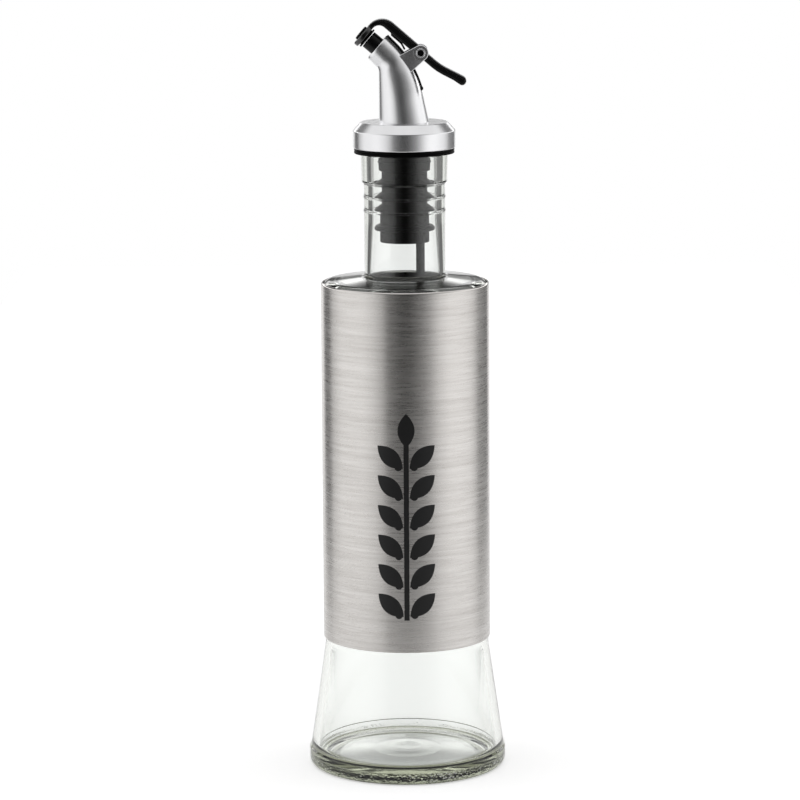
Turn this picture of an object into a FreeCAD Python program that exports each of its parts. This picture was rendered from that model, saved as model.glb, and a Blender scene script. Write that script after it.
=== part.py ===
import FreeCAD, Part
import math
import os

# Oil dispenser bottle: a clear glass bottle in a steel sleeve, shut by a finned rubber
# stopper that carries a metal spout with a flip lever. Millimetres, +Z up, origin at the
# centre of the base. The spout points to -X, the lever's tail to +X.

Vec = FreeCAD.Vector

# ---- driving dimensions: sleeve and glass body -------------------------------------------
SLEEVE_RADIUS = 31.0
SLEEVE_WALL = 0.5
SLEEVE_HEIGHT = 133.0
SLEEVE_BOTTOM = 48.8
SLEEVE_LIP_ROLL = 0.8
SLEEVE_GLASS_GAP = 0.1
BASE_RADIUS = 36.6
HEEL_HEIGHT = 7.0
HEEL_STEP = 0.5
HEEL_ROUND = 2.6
FOOT_RING_WIDTH = 3.0
PUNT_DEPTH = 2.2
BODY_WALL = 2.8
SKIRT_WALL = 2.6
FLOOR_THICKNESS = 5.0
FLOOR_CROWN = 1.2
FLOOR_CORNER_ROUND = 3.0
SKIRT_DROP = 2.4
SKIRT_BLEND = 18.0
SHOULDER_ABOVE_SLEEVE = 0.6
SHOULDER_RISE = 1.7
SHOULDER_ROUND = 3.0
SHOULDER_WALL = 2.9

# ---- driving dimensions: neck and finish --------------------------------------------------
NECK_RADIUS = 14.9
NECK_HEIGHT = 45.2
NECK_FOOT_ROUND = 1.3
BORE_RADIUS = 11.9
BORE_FLARE = 1.2
BORE_FLARE_HEIGHT = 20.0
FINISH_RADIUS = 16.0
FINISH_TAPER = 0.35
FINISH_HEIGHT = 10.4
FINISH_STEP = 0.9
MOUTH_ROUND = 0.6
BEAD_DROPS = (16.0, 21.0)
BEAD_HALF_HEIGHT = 0.5
BEAD_PROUD = 0.35

# ---- driving dimensions: stopper ----------------------------------------------------------
GASKET_HEIGHT = 1.9
GASKET_RADIUS = 18.4
GASKET_GROOVE = 0.4
GASKET_BORE_GAP = 0.05
PLUG_COLLAR_RADIUS = 9.5
PLUG_COLLAR_DEPTH = 5.9
PLUG_BEAD_DEPTH = 2.7
PLUG_BEAD_PROUD = 0.35
PLUG_WAIST_RADIUS = 8.35
PLUG_FOOT_RADIUS = 9.0
PLUG_DEPTH = 32.4
FIN_CLEARANCE = 0.85
FIN_DEPTHS = (11.2, 16.3, 20.7)
FIN_DROOP = 1.5
FIN_ROOT = 1.5
FIN_TIP = 0.7
ROUND_FIN_DEPTH = 27.1
ROUND_FIN_THICKNESS = 1.9
POUR_RADIUS = 2.6
POUR_DEPTH = 12.0
VENT_TUBE_RADIUS = 1.6
VENT_TUBE_WALL = 0.5
VENT_TUBE_OFFSET = 5.7
VENT_TUBE_FREE_LENGTH = 12.0
VENT_TUBE_SOCKET = 3.0
VENT_TUBE_CLEARANCE = 0.02

# ---- driving dimensions: spout ------------------------------------------------------------
DISC_RADIUS = 18.8
DISC_SIDE = 6.4
DISC_BEVEL_WIDTH = 2.85
DISC_BEVEL_HEIGHT = 3.1
DISC_EDGE_ROUND = 0.5
SPOUT_BASE_RADIUS = 9.15
SPOUT_FRONT_HEIGHT = 19.4
SPOUT_FRONT_ROUND = 2.6
SPOUT_FRONT_LENGTH = 5.7
SPOUT_BACK_LEAN = 12.3
SPOUT_BACK_ROUND = 38.0
SPOUT_TILT = 45.0
SPOUT_BEND_SHARE = 0.37
SPOUT_RISE_STEPS = 5
MOUTH_CUT_TILT = 4.5
MOUTH_RADIUS = 5.37
NOZZLE_RADIUS = 3.4
NOZZLE_BORE = 2.1
NOZZLE_PROUD = 4.05
NOZZLE_SEAT = 7.0
NOZZLE_CLEARANCE = 0.02
STRIP_WIDTH = 3.0
STRIP_PROUD = 0.45
STRIP_SINK = 0.5
STRIP_SETBACK = 0.3
STRIP_LENGTH = 23.5
STRIP_NIB_RADIUS = 0.65

# ---- driving dimensions: lever and hinge --------------------------------------------------
EAR_SPAN = 8.0
EAR_THICKNESS = 1.2
EAR_END_RADIUS = 2.9
EAR_TOP_REACH = 8.6
EAR_LOW_REACH = 16.2
EAR_ROOT_DEPTH = 3.2
PIN_RADIUS = 1.2
PIN_EAR_CLEARANCE = 0.02
PIN_LEVER_CLEARANCE = 0.06
PIN_REACH = 12.2
PIN_STANDOFF = 5.2
LEVER_SIDE_GAP = 0.3
LEVER_THICKNESS = 3.3
LEVER_ANGLE = 41.0
LEVER_HUB_RADIUS = 2.35
HOOK_OUTER_ROUND = 6.2
HOOK_INNER_ROUND = 2.9
RING_RADIUS = 4.6
RING_THICKNESS = 1.8
RING_DISTANCE = 6.35
HOOK_OVERLAP = 0.9
LEVER_GROOVE_INSET = 0.85
LEVER_GROOVE_DEPTH = 0.35
RIB_DROP = 0.7
RIB_WIDTH = 2.0
RIB_START = 12.9
RIB_END = 7.6
RIB_SINK = 0.3
FINGER_THICKNESS = 0.7
FINGER_REACH = 8.2
FINGER_GAP = 0.4
TAIL_THICKNESS = 2.85
TAIL_BEND_REACH = 8.6
TAIL_END_REACH = 9.6
TAIL_END_ANGLE = 27.0
TAIL_BEND_ROUND = 26.0
TAIL_BULB_RADIUS = 1.75
TAIL_BULB_DROP = 0.35

# ---- driving dimensions: rubber cap in the lever's ring -------------------------------------
CAP_FLANGE_RADIUS = 3.96
CAP_FLANGE_THICKNESS = 0.6
CAP_NOZZLE_GAP = 0.35
CAP_STEM_RADIUS = 2.2
CAP_NECK_RADIUS = 3.2
CAP_BUTTON_RADIUS = 2.82
CAP_BUTTON_THICKNESS = 0.75

# ---- heights that follow from them --------------------------------------------------------
GLASS_RADIUS = SLEEVE_RADIUS - SLEEVE_WALL - SLEEVE_GLASS_GAP
SLEEVE_TOP = SLEEVE_BOTTOM + SLEEVE_HEIGHT
SHOULDER_EDGE_Z = SLEEVE_TOP + SHOULDER_ABOVE_SLEEVE
NECK_FOOT_Z = SHOULDER_EDGE_Z + SHOULDER_RISE
RIM_Z = NECK_FOOT_Z + NECK_HEIGHT
DISC_BOTTOM_Z = RIM_Z + GASKET_HEIGHT
DISC_TOP_Z = DISC_BOTTOM_Z + DISC_SIDE + DISC_BEVEL_HEIGHT


# ---- plane geometry -----------------------------------------------------------------------
def flat(x, z):
    """A point of the XZ plane."""
    return Vec(x, 0, z)


def heading(angle):
    """Unit vector in the XZ plane, turned by angle degrees from +X towards +Z."""
    return flat(math.cos(math.radians(angle)), math.sin(math.radians(angle)))


def crossing(point_a, way_a, point_b, way_b):
    """Where two lines of the XZ plane meet."""
    spread = way_a.x * way_b.z - way_a.z * way_b.x
    gap = point_b - point_a
    return point_a + way_a * ((gap.x * way_b.z - gap.z * way_b.x) / spread)


def corner_arc(before, corner, after, radius):
    """Start, middle and end of the arc that rounds a corner."""
    to_before = (before - corner).normalize()
    to_after = (after - corner).normalize()
    half = to_before.getAngle(to_after) / 2
    bisector = (to_before + to_after).normalize()
    setback = radius / math.tan(half)
    middle = corner + bisector * (radius / math.sin(half) - radius)
    return corner + to_before * setback, middle, corner + to_after * setback


def rounded_wire(corners):
    """Closed wire through (point, rounding radius) corners of the XZ plane."""
    edges = []
    pen = None
    first = None
    count = len(corners)
    for index, (corner, radius) in enumerate(corners):
        if radius > 0:
            before = corners[index - 1][0]
            after = corners[(index + 1) % count][0]
            start, middle, end = corner_arc(before, corner, after, radius)
        else:
            start, middle, end = corner, None, corner
        if pen is not None and pen.distanceToPoint(start) > 1e-6:
            edges.append(Part.LineSegment(pen, start).toShape())
        if middle is not None:
            edges.append(Part.Arc(start, middle, end).toShape())
        if first is None:
            first = start
        pen = end
    if pen.distanceToPoint(first) > 1e-6:
        edges.append(Part.LineSegment(pen, first).toShape())
    return Part.Wire(edges)


def turned(profile):
    """Solid of revolution about +Z from (radius, height, rounding) corners."""
    corners = [(flat(radius, height), rounding) for radius, height, rounding in profile]
    face = Part.Face(rounded_wire(corners))
    return face.revolve(Vec(0, 0, 0), Vec(0, 0, 1), 360)


def plate(corners, width, middle_y=0.0):
    """Outline of the XZ plane given a width along Y."""
    face = Part.Face(rounded_wire(corners))
    face.translate(Vec(0, middle_y - width / 2, 0))
    return face.extrude(Vec(0, width, 0))


def rod(radius, start, way, length):
    """Round bar from a start point along a direction."""
    return Part.makeCylinder(radius, length, start, way)


def save(node, shape):
    """Write one piece as a STEP file named after its node."""
    solid = shape.removeSplitter()
    if solid.ShapeType != "Solid":
        solid = solid.Solids[0]
    solid.exportStep("parts/" + node + ".step")
    print(node, "valid", solid.isValid(), "volume", round(solid.Volume, 1))


# ---- glass bottle -------------------------------------------------------------------------
def glass_outside():
    """Filled outer form of the bottle, from foot ring to rim."""
    foot_inner = BASE_RADIUS - HEEL_ROUND - FOOT_RING_WIDTH
    step_bottom = RIM_Z - FINISH_HEIGHT - FINISH_STEP
    profile = [
        (0, PUNT_DEPTH, 0),
        (foot_inner * 0.8, PUNT_DEPTH * 0.55, 8.0),
        (foot_inner, 0, 0.8),
        (BASE_RADIUS, 0, HEEL_ROUND),
        (BASE_RADIUS, HEEL_HEIGHT - HEEL_STEP, 0.4),
        (BASE_RADIUS - HEEL_STEP, HEEL_HEIGHT, 0.2),
        (GLASS_RADIUS, SLEEVE_BOTTOM - SKIRT_DROP, SKIRT_BLEND),
        (GLASS_RADIUS, SHOULDER_EDGE_Z, SHOULDER_ROUND),
        (NECK_RADIUS, NECK_FOOT_Z, NECK_FOOT_ROUND),
        (NECK_RADIUS, step_bottom, 0.25),
        (FINISH_RADIUS - FINISH_TAPER, RIM_Z - FINISH_HEIGHT, 0.25),
        (FINISH_RADIUS, RIM_Z, MOUTH_ROUND),
        (0, RIM_Z, 0),
    ]
    return turned(profile)


def neck_bead(drop):
    """Shallow rounded bead round the neck, a given distance below the rim."""
    middle = RIM_Z - drop
    profile = [
        (NECK_RADIUS - 0.5, middle - BEAD_HALF_HEIGHT, 0),
        (NECK_RADIUS, middle - BEAD_HALF_HEIGHT, 0),
        (NECK_RADIUS + BEAD_PROUD, middle, 0.5),
        (NECK_RADIUS, middle + BEAD_HALF_HEIGHT, 0),
        (NECK_RADIUS - 0.5, middle + BEAD_HALF_HEIGHT, 0),
    ]
    return turned(profile)


def glass_inside():
    """The hollow: floor, skirt, body, shoulder and bore."""
    body_radius = GLASS_RADIUS - BODY_WALL
    floor_radius = BASE_RADIUS - HEEL_STEP - SKIRT_WALL
    shoulder_z = SHOULDER_EDGE_Z - SHOULDER_WALL
    flare_radius = BORE_RADIUS + BORE_FLARE
    neck_inside_z = NECK_FOOT_Z - SHOULDER_WALL
    above_rim = RIM_Z + 5.0
    profile = [
        (0, FLOOR_THICKNESS + FLOOR_CROWN, 0),
        (floor_radius * 0.55, FLOOR_THICKNESS + FLOOR_CROWN * 0.5, 12.0),
        (floor_radius, FLOOR_THICKNESS, FLOOR_CORNER_ROUND),
        (body_radius, SLEEVE_BOTTOM - SKIRT_DROP, SKIRT_BLEND),
        (body_radius, shoulder_z, SHOULDER_ROUND + 1.0),
        (flare_radius, neck_inside_z, 2.2),
        (BORE_RADIUS, NECK_FOOT_Z + BORE_FLARE_HEIGHT, 30.0),
        (BORE_RADIUS, RIM_Z - MOUTH_ROUND, 0),
        (BORE_RADIUS + MOUTH_ROUND, RIM_Z, 0),
        (BORE_RADIUS + MOUTH_ROUND, above_rim, 0),
        (0, above_rim, 0),
    ]
    return turned(profile)


def glass_bottle():
    """One-piece bottle with its two neck beads."""
    shape = glass_outside()
    for drop in BEAD_DROPS:
        shape = shape.fuse(neck_bead(drop))
    return shape.cut(glass_inside())


def steel_sleeve():
    """Thin tube round the body, its top edge rolled in over the shoulder."""
    inner = SLEEVE_RADIUS - SLEEVE_WALL
    lip = SLEEVE_RADIUS - SLEEVE_LIP_ROLL
    profile = [
        (inner, SLEEVE_BOTTOM, 0.15),
        (SLEEVE_RADIUS, SLEEVE_BOTTOM, 0.2),
        (SLEEVE_RADIUS, SLEEVE_TOP, SLEEVE_LIP_ROLL * 0.95),
        (lip, SLEEVE_TOP, 0),
        (lip, SLEEVE_TOP - SLEEVE_WALL, 0),
        (inner, SLEEVE_TOP - SLEEVE_WALL, 0.2),
    ]
    return turned(profile)


# ---- stopper ------------------------------------------------------------------------------
def gasket_ring():
    """Washer with two thin lips, clamped between the rim and the spout's disc."""
    bore = PLUG_COLLAR_RADIUS + GASKET_BORE_GAP
    lip = GASKET_HEIGHT * 0.42
    profile = [
        (bore, RIM_Z, 0),
        (GASKET_RADIUS, RIM_Z, 0.3),
        (GASKET_RADIUS, RIM_Z + lip, 0.3),
        (GASKET_RADIUS - GASKET_GROOVE, RIM_Z + GASKET_HEIGHT / 2, 0),
        (GASKET_RADIUS, DISC_BOTTOM_Z - lip, 0.3),
        (GASKET_RADIUS, DISC_BOTTOM_Z, 0.3),
        (bore, DISC_BOTTOM_Z, 0),
    ]
    return turned(profile)


def plug_fin(depth, body_radius):
    """Thin drooping fin, its tip a given depth below the rim."""
    tip_radius = BORE_RADIUS - FIN_CLEARANCE
    tip_z = RIM_Z - depth
    root_radius = body_radius - 0.5
    profile = [
        (root_radius, tip_z + FIN_DROOP - FIN_ROOT / 2, 0),
        (tip_radius, tip_z - FIN_TIP / 2, FIN_TIP * 0.4),
        (tip_radius, tip_z + FIN_TIP / 2, FIN_TIP * 0.4),
        (root_radius, tip_z + FIN_DROOP + FIN_ROOT / 2, 0),
    ]
    return turned(profile)


def round_fin():
    """Thick rounded ring near the plug's foot."""
    tip_radius = BORE_RADIUS - FIN_CLEARANCE
    middle = RIM_Z - ROUND_FIN_DEPTH
    half = ROUND_FIN_THICKNESS / 2
    profile = [
        (PLUG_WAIST_RADIUS, middle - half, 0),
        (tip_radius, middle - half, half * 0.95),
        (tip_radius, middle + half, half * 0.95),
        (PLUG_WAIST_RADIUS, middle + half, 0),
    ]
    return turned(profile)


def stopper_plug():
    """Rubber plug: collar, waist, fins and foot, hollowed for the oil and bored for the vent tube."""
    collar_z = RIM_Z - PLUG_COLLAR_DEPTH
    bead_z = RIM_Z - PLUG_BEAD_DEPTH
    foot_z = RIM_Z - PLUG_DEPTH
    profile = [
        (0, DISC_BOTTOM_Z, 0),
        (PLUG_COLLAR_RADIUS, DISC_BOTTOM_Z, 0),
        (PLUG_COLLAR_RADIUS, bead_z + 0.5, 0),
        (PLUG_COLLAR_RADIUS + PLUG_BEAD_PROUD, bead_z, 0.3),
        (PLUG_COLLAR_RADIUS, bead_z - 0.5, 0),
        (PLUG_COLLAR_RADIUS - 0.15, collar_z, 0.3),
        (PLUG_WAIST_RADIUS, collar_z - 0.4, 0.2),
        (PLUG_WAIST_RADIUS, RIM_Z - FIN_DEPTHS[-1], 0.3),
        (PLUG_FOOT_RADIUS, RIM_Z - FIN_DEPTHS[-1] - 1.0, 0.3),
        (PLUG_FOOT_RADIUS, foot_z, 0.5),
        (0, foot_z, 0),
    ]
    shape = turned(profile)
    for depth in FIN_DEPTHS:
        shape = shape.fuse(plug_fin(depth, PLUG_WAIST_RADIUS))
    shape = shape.fuse(round_fin())
    length = PLUG_DEPTH + GASKET_HEIGHT + 2.0
    below = Vec(0, 0, foot_z - 1.0)
    shape = shape.cut(rod(POUR_RADIUS, below, Vec(0, 0, 1), POUR_DEPTH + 1.0))
    socket = VENT_TUBE_RADIUS + VENT_TUBE_CLEARANCE
    return shape.cut(rod(socket, below + Vec(VENT_TUBE_OFFSET, 0, 0), Vec(0, 0, 1), length))


def vent_tube():
    """Air tube from the disc down through the plug into the bottle."""
    bottom = Vec(VENT_TUBE_OFFSET, 0, RIM_Z - PLUG_DEPTH - VENT_TUBE_FREE_LENGTH)
    top_z = DISC_BOTTOM_Z + VENT_TUBE_SOCKET
    length = top_z - bottom.z
    outer = rod(VENT_TUBE_RADIUS, bottom, Vec(0, 0, 1), length)
    return outer.cut(rod(VENT_TUBE_RADIUS - VENT_TUBE_WALL, bottom, Vec(0, 0, 1), length))


# ---- spout: the lines that its front and back follow in the XZ plane -------------------------
UP = flat(0, 1)
SPOUT_WAY = heading(90 + SPOUT_TILT)
MOUTH_WAY = heading(90 + SPOUT_TILT + MOUTH_CUT_TILT)
MOUTH_ACROSS = heading(SPOUT_TILT + MOUTH_CUT_TILT)
FRONT_FOOT = flat(-SPOUT_BASE_RADIUS, DISC_TOP_Z)
BACK_FOOT = flat(SPOUT_BASE_RADIUS, DISC_TOP_Z)
FRONT_CORNER = FRONT_FOOT + UP * SPOUT_FRONT_HEIGHT
MOUTH_FRONT = FRONT_CORNER + SPOUT_WAY * SPOUT_FRONT_LENGTH
MOUTH_BACK = MOUTH_FRONT + MOUTH_ACROSS * (2 * MOUTH_RADIUS)
MOUTH_CENTRE = (MOUTH_FRONT + MOUTH_BACK) * 0.5
BACK_CORNER = crossing(BACK_FOOT, heading(90 + SPOUT_BACK_LEAN), MOUTH_BACK, SPOUT_WAY)


def front_arc():
    """Start, middle and end of the small bend at the spout's front."""
    return corner_arc(FRONT_FOOT, FRONT_CORNER, MOUTH_FRONT, SPOUT_FRONT_ROUND)


def back_arc():
    """Start, middle and end of the long bend at the spout's back."""
    return corner_arc(BACK_FOOT, BACK_CORNER, MOUTH_BACK, SPOUT_BACK_ROUND)


def back_point(travel):
    """Point and outward direction on the back line, a distance down from the mouth."""
    start, middle, end = back_arc()
    upper = MOUTH_BACK.distanceToPoint(end)
    if travel <= upper:
        return MOUTH_BACK - SPOUT_WAY * travel, heading(SPOUT_TILT)
    sweep = math.degrees((travel - upper) / SPOUT_BACK_ROUND)
    bend = SPOUT_TILT - SPOUT_BACK_LEAN
    centre = end - heading(SPOUT_TILT) * SPOUT_BACK_ROUND
    if sweep <= bend:
        outward = heading(SPOUT_TILT - sweep)
        return centre + outward * SPOUT_BACK_ROUND, outward
    rest = travel - upper - math.radians(bend) * SPOUT_BACK_ROUND
    return start - heading(90 + SPOUT_BACK_LEAN) * rest, heading(SPOUT_BACK_LEAN)


def back_length():
    """Length of the back line from the mouth down to the disc."""
    start, middle, end = back_arc()
    bend = math.radians(SPOUT_TILT - SPOUT_BACK_LEAN) * SPOUT_BACK_ROUND
    return MOUTH_BACK.distanceToPoint(end) + bend + start.distanceToPoint(BACK_FOOT)


def spout_section(front, back):
    """Circle that stands across the spout between a front and a back point."""
    across = back - front
    circle = Part.Circle(Vec(0, 0, 0), Vec(0, 0, 1), across.Length / 2).toShape()
    circle.rotate(Vec(0, 0, 0), Vec(0, 1, 0), -math.degrees(math.atan2(across.z, across.x)))
    circle.translate((front + back) * 0.5)
    return Part.Wire([circle])


def spout_tube():
    """Tapered tube that rises from the disc and bends over to the mouth."""
    arc_start, arc_middle, arc_end = front_arc()
    last_run = MOUTH_FRONT.distanceToPoint(arc_end)
    bend_travel = back_length() * SPOUT_BEND_SHARE
    rise = arc_start.z - DISC_TOP_Z
    pairs = []
    for step in range(SPOUT_RISE_STEPS):
        share = step / SPOUT_RISE_STEPS
        back_travel = back_length() * (1 - share) + bend_travel * share
        pairs.append((FRONT_FOOT + UP * (rise * share), back_point(back_travel)[0]))
    pairs.append((arc_start, back_point(bend_travel)[0]))
    pairs.append((arc_middle, back_point((bend_travel + last_run) / 2)[0]))
    pairs.append((arc_end, back_point(last_run)[0]))
    pairs.append((MOUTH_FRONT, MOUTH_BACK))
    rising = pairs[:SPOUT_RISE_STEPS + 1]
    bending = pairs[SPOUT_RISE_STEPS:]
    lower = Part.makeLoft([spout_section(front, back) for front, back in rising], True)
    upper = Part.makeLoft([spout_section(front, back) for front, back in bending], True)
    return lower.fuse(upper)


# ---- spout body ---------------------------------------------------------------------------
PIN_FOOT, PIN_OUTWARD = back_point(PIN_REACH)
PIN_CENTRE = PIN_FOOT + PIN_OUTWARD * PIN_STANDOFF


def tangent_point(outside, centre, radius, side):
    """Where a line from a point touches a circle; side is +1 or -1."""
    gap = centre - outside
    swing = math.asin(radius / gap.Length)
    reach = math.sqrt(gap.Length ** 2 - radius ** 2)
    base = math.atan2(gap.z, gap.x) + side * swing
    return outside + flat(math.cos(base), math.sin(base)) * reach


def ear(side):
    """One hinge ear on the spout's back, on the side +1 or -1 of the middle."""
    top, top_out = back_point(EAR_TOP_REACH)
    low, low_out = back_point(EAR_LOW_REACH)
    top_root = top - top_out * EAR_ROOT_DEPTH
    low_root = low - low_out * EAR_ROOT_DEPTH
    upper = tangent_point(top - top_out, PIN_CENTRE, EAR_END_RADIUS, 1)
    lower = tangent_point(low - low_out, PIN_CENTRE, EAR_END_RADIUS, -1)
    corners = [(top_root, 0), (top - top_out, 0), (upper, 0), (PIN_CENTRE, 0)]
    corners += [(lower, 0), (low - low_out, 0), (low_root, 0)]
    middle_y = side * (EAR_SPAN - EAR_THICKNESS) / 2
    web = plate(corners, EAR_THICKNESS, middle_y)
    end_start = PIN_CENTRE + Vec(0, middle_y - EAR_THICKNESS / 2, 0)
    return web.fuse(rod(EAR_END_RADIUS, end_start, Vec(0, 1, 0), EAR_THICKNESS))


def spout_body():
    """Disc, bent tube and hinge ears in one casting, with seats for the nozzle and the vent tube."""
    bevel_z = DISC_BOTTOM_Z + DISC_SIDE
    profile = [
        (0, DISC_BOTTOM_Z, 0),
        (DISC_RADIUS, DISC_BOTTOM_Z, DISC_EDGE_ROUND),
        (DISC_RADIUS, bevel_z, DISC_EDGE_ROUND),
        (DISC_RADIUS - DISC_BEVEL_WIDTH, DISC_TOP_Z, DISC_EDGE_ROUND),
        (0, DISC_TOP_Z, 0),
    ]
    shape = turned(profile).fuse(spout_tube())
    for side in (-1, 1):
        shape = shape.fuse(ear(side))
    seat = rod(NOZZLE_RADIUS + NOZZLE_CLEARANCE, MOUTH_CENTRE, MOUTH_WAY * -1, NOZZLE_SEAT)
    shape = shape.cut(seat)
    vent_foot = Vec(VENT_TUBE_OFFSET, 0, DISC_BOTTOM_Z - 1.0)
    socket = VENT_TUBE_RADIUS + VENT_TUBE_CLEARANCE
    shape = shape.cut(rod(socket, vent_foot, Vec(0, 0, 1), VENT_TUBE_SOCKET + 1.0))
    hole = PIN_RADIUS + PIN_EAR_CLEARANCE
    across = PIN_CENTRE + Vec(0, -EAR_SPAN, 0)
    return shape.cut(rod(hole, across, Vec(0, 1, 0), 2 * EAR_SPAN))


def nozzle_tip():
    """Plastic tube seated in the mouth, with its pouring end standing out of it."""
    start = MOUTH_CENTRE - MOUTH_WAY * NOZZLE_SEAT
    length = NOZZLE_SEAT + NOZZLE_PROUD
    return rod(NOZZLE_RADIUS, start, MOUTH_WAY, length).cut(rod(NOZZLE_BORE, start, MOUTH_WAY, length))


def vent_strip(body):
    """Narrow strip that follows the spout's back from the mouth to a rounded nib."""
    outward = heading(SPOUT_TILT)
    arc_top = back_arc()[2]
    centre = arc_top - outward * SPOUT_BACK_ROUND
    upper_run = MOUTH_BACK.distanceToPoint(arc_top)
    sweep = math.degrees((STRIP_LENGTH - upper_run) / SPOUT_BACK_ROUND)
    middle_way = heading(SPOUT_TILT - sweep / 2)
    end_way = heading(SPOUT_TILT - sweep)
    outer = SPOUT_BACK_ROUND + STRIP_PROUD
    inner = SPOUT_BACK_ROUND - STRIP_SINK
    top = MOUTH_BACK - SPOUT_WAY * STRIP_SETBACK
    top_out = top + outward * STRIP_PROUD
    top_in = top - outward * STRIP_SINK
    edges = [
        Part.LineSegment(top_in, top_out).toShape(),
        Part.LineSegment(top_out, centre + outward * outer).toShape(),
        Part.Arc(centre + outward * outer, centre + middle_way * outer, centre + end_way * outer).toShape(),
        Part.LineSegment(centre + end_way * outer, centre + end_way * inner).toShape(),
        Part.Arc(centre + end_way * inner, centre + middle_way * inner, centre + outward * inner).toShape(),
        Part.LineSegment(centre + outward * inner, top_in).toShape(),
    ]
    aside = Vec(0, -STRIP_WIDTH / 2, 0)
    face = Part.Face(Part.Wire(edges))
    face.translate(aside)
    shape = face.extrude(Vec(0, STRIP_WIDTH, 0))
    nib_start = centre + end_way * SPOUT_BACK_ROUND + aside
    nib = rod(STRIP_NIB_RADIUS, nib_start, Vec(0, 1, 0), STRIP_WIDTH)
    return shape.fuse(nib).cut(body)


def hinge_pin():
    """Pin through both ears and the lever's hub."""
    return rod(PIN_RADIUS, PIN_CENTRE + Vec(0, -EAR_SPAN / 2, 0), Vec(0, 1, 0), EAR_SPAN)


# ---- lever --------------------------------------------------------------------------------
LEVER_WIDTH = EAR_SPAN - 2 * EAR_THICKNESS - 2 * LEVER_SIDE_GAP
BAR_WAY = heading(180 - LEVER_ANGLE)
BAR_UP = heading(90 - LEVER_ANGLE)
RING_CENTRE = MOUTH_CENTRE + MOUTH_WAY * RING_DISTANCE


def bar_corners(inset=0.0):
    """Outline of the hook and bar, drawn in by inset."""
    half = LEVER_THICKNESS / 2 - inset
    skin = RING_THICKNESS / 2 - inset
    upper = PIN_CENTRE + BAR_UP * half
    lower = PIN_CENTRE - BAR_UP * half
    outer_face = RING_CENTRE + MOUTH_WAY * skin
    inner_face = RING_CENTRE - MOUTH_WAY * skin
    outer_corner = crossing(outer_face, MOUTH_ACROSS, upper, BAR_WAY)
    inner_corner = crossing(inner_face, MOUTH_ACROSS, lower, BAR_WAY)
    start = MOUTH_ACROSS * (RING_RADIUS - HOOK_OVERLAP)
    return [
        (inner_face + start, 0),
        (outer_face + start, 0),
        (outer_corner, HOOK_OUTER_ROUND - inset),
        (upper + BAR_WAY * (inset * 3), 0),
        (lower + BAR_WAY * (inset * 3), 0),
        (inner_corner, HOOK_INNER_ROUND + inset),
    ]


def tail_corners(inset=0.0):
    """Outline of the tail, drawn in by inset."""
    half = TAIL_THICKNESS / 2 - inset
    bend = PIN_CENTRE - BAR_WAY * TAIL_BEND_REACH
    end_way = heading(-TAIL_END_ANGLE)
    end_up = heading(90 - TAIL_END_ANGLE)
    end = bend + end_way * (TAIL_END_REACH - inset * 2)
    upper_bend = crossing(PIN_CENTRE + BAR_UP * half, BAR_WAY, end + end_up * half, end_way)
    lower_bend = crossing(PIN_CENTRE - BAR_UP * half, BAR_WAY, end - end_up * half, end_way)
    start = PIN_CENTRE - BAR_WAY * (inset * 3)
    return [
        (start + BAR_UP * half, 0),
        (upper_bend, TAIL_BEND_ROUND),
        (end + end_up * half, 0),
        (end - end_up * half, 0),
        (lower_bend, TAIL_BEND_ROUND),
        (start - BAR_UP * half, 0),
    ]


def tail_bulb():
    """Thicker rounded tip of the tail."""
    bend = PIN_CENTRE - BAR_WAY * TAIL_BEND_REACH
    end_way = heading(-TAIL_END_ANGLE)
    end_up = heading(90 - TAIL_END_ANGLE)
    centre = bend + end_way * TAIL_END_REACH - end_up * TAIL_BULB_DROP
    return rod(TAIL_BULB_RADIUS, centre + Vec(0, -LEVER_WIDTH / 2, 0), Vec(0, 1, 0), LEVER_WIDTH)


def stop_rib():
    """Rib under the bar, with a finger that ends just above the strip on the spout's back."""
    under = PIN_CENTRE - BAR_UP * (LEVER_THICKNESS / 2)
    start = under + BAR_WAY * RIB_START
    end = under + BAR_WAY * RIB_END
    low = end - BAR_UP * RIB_DROP
    rib = [
        (start + BAR_UP * RIB_SINK, 0),
        (start, 0),
        (start - BAR_UP * RIB_DROP - BAR_WAY * RIB_DROP, 0.3),
        (low, 0),
        (end + BAR_UP * RIB_SINK, 0),
    ]
    foot, outward = back_point(FINGER_REACH)
    tip = foot + outward * (STRIP_PROUD + FINGER_GAP)
    way = (tip - low).normalize()
    thickness = Vec(-way.z, 0, way.x) * FINGER_THICKNESS
    root = low - way * RIB_SINK
    finger = [(root + thickness, 0), (tip + thickness, 0.2), (tip, 0.2), (root, 0)]
    return plate(rib, RIB_WIDTH).fuse(plate(finger, RIB_WIDTH))


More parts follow.
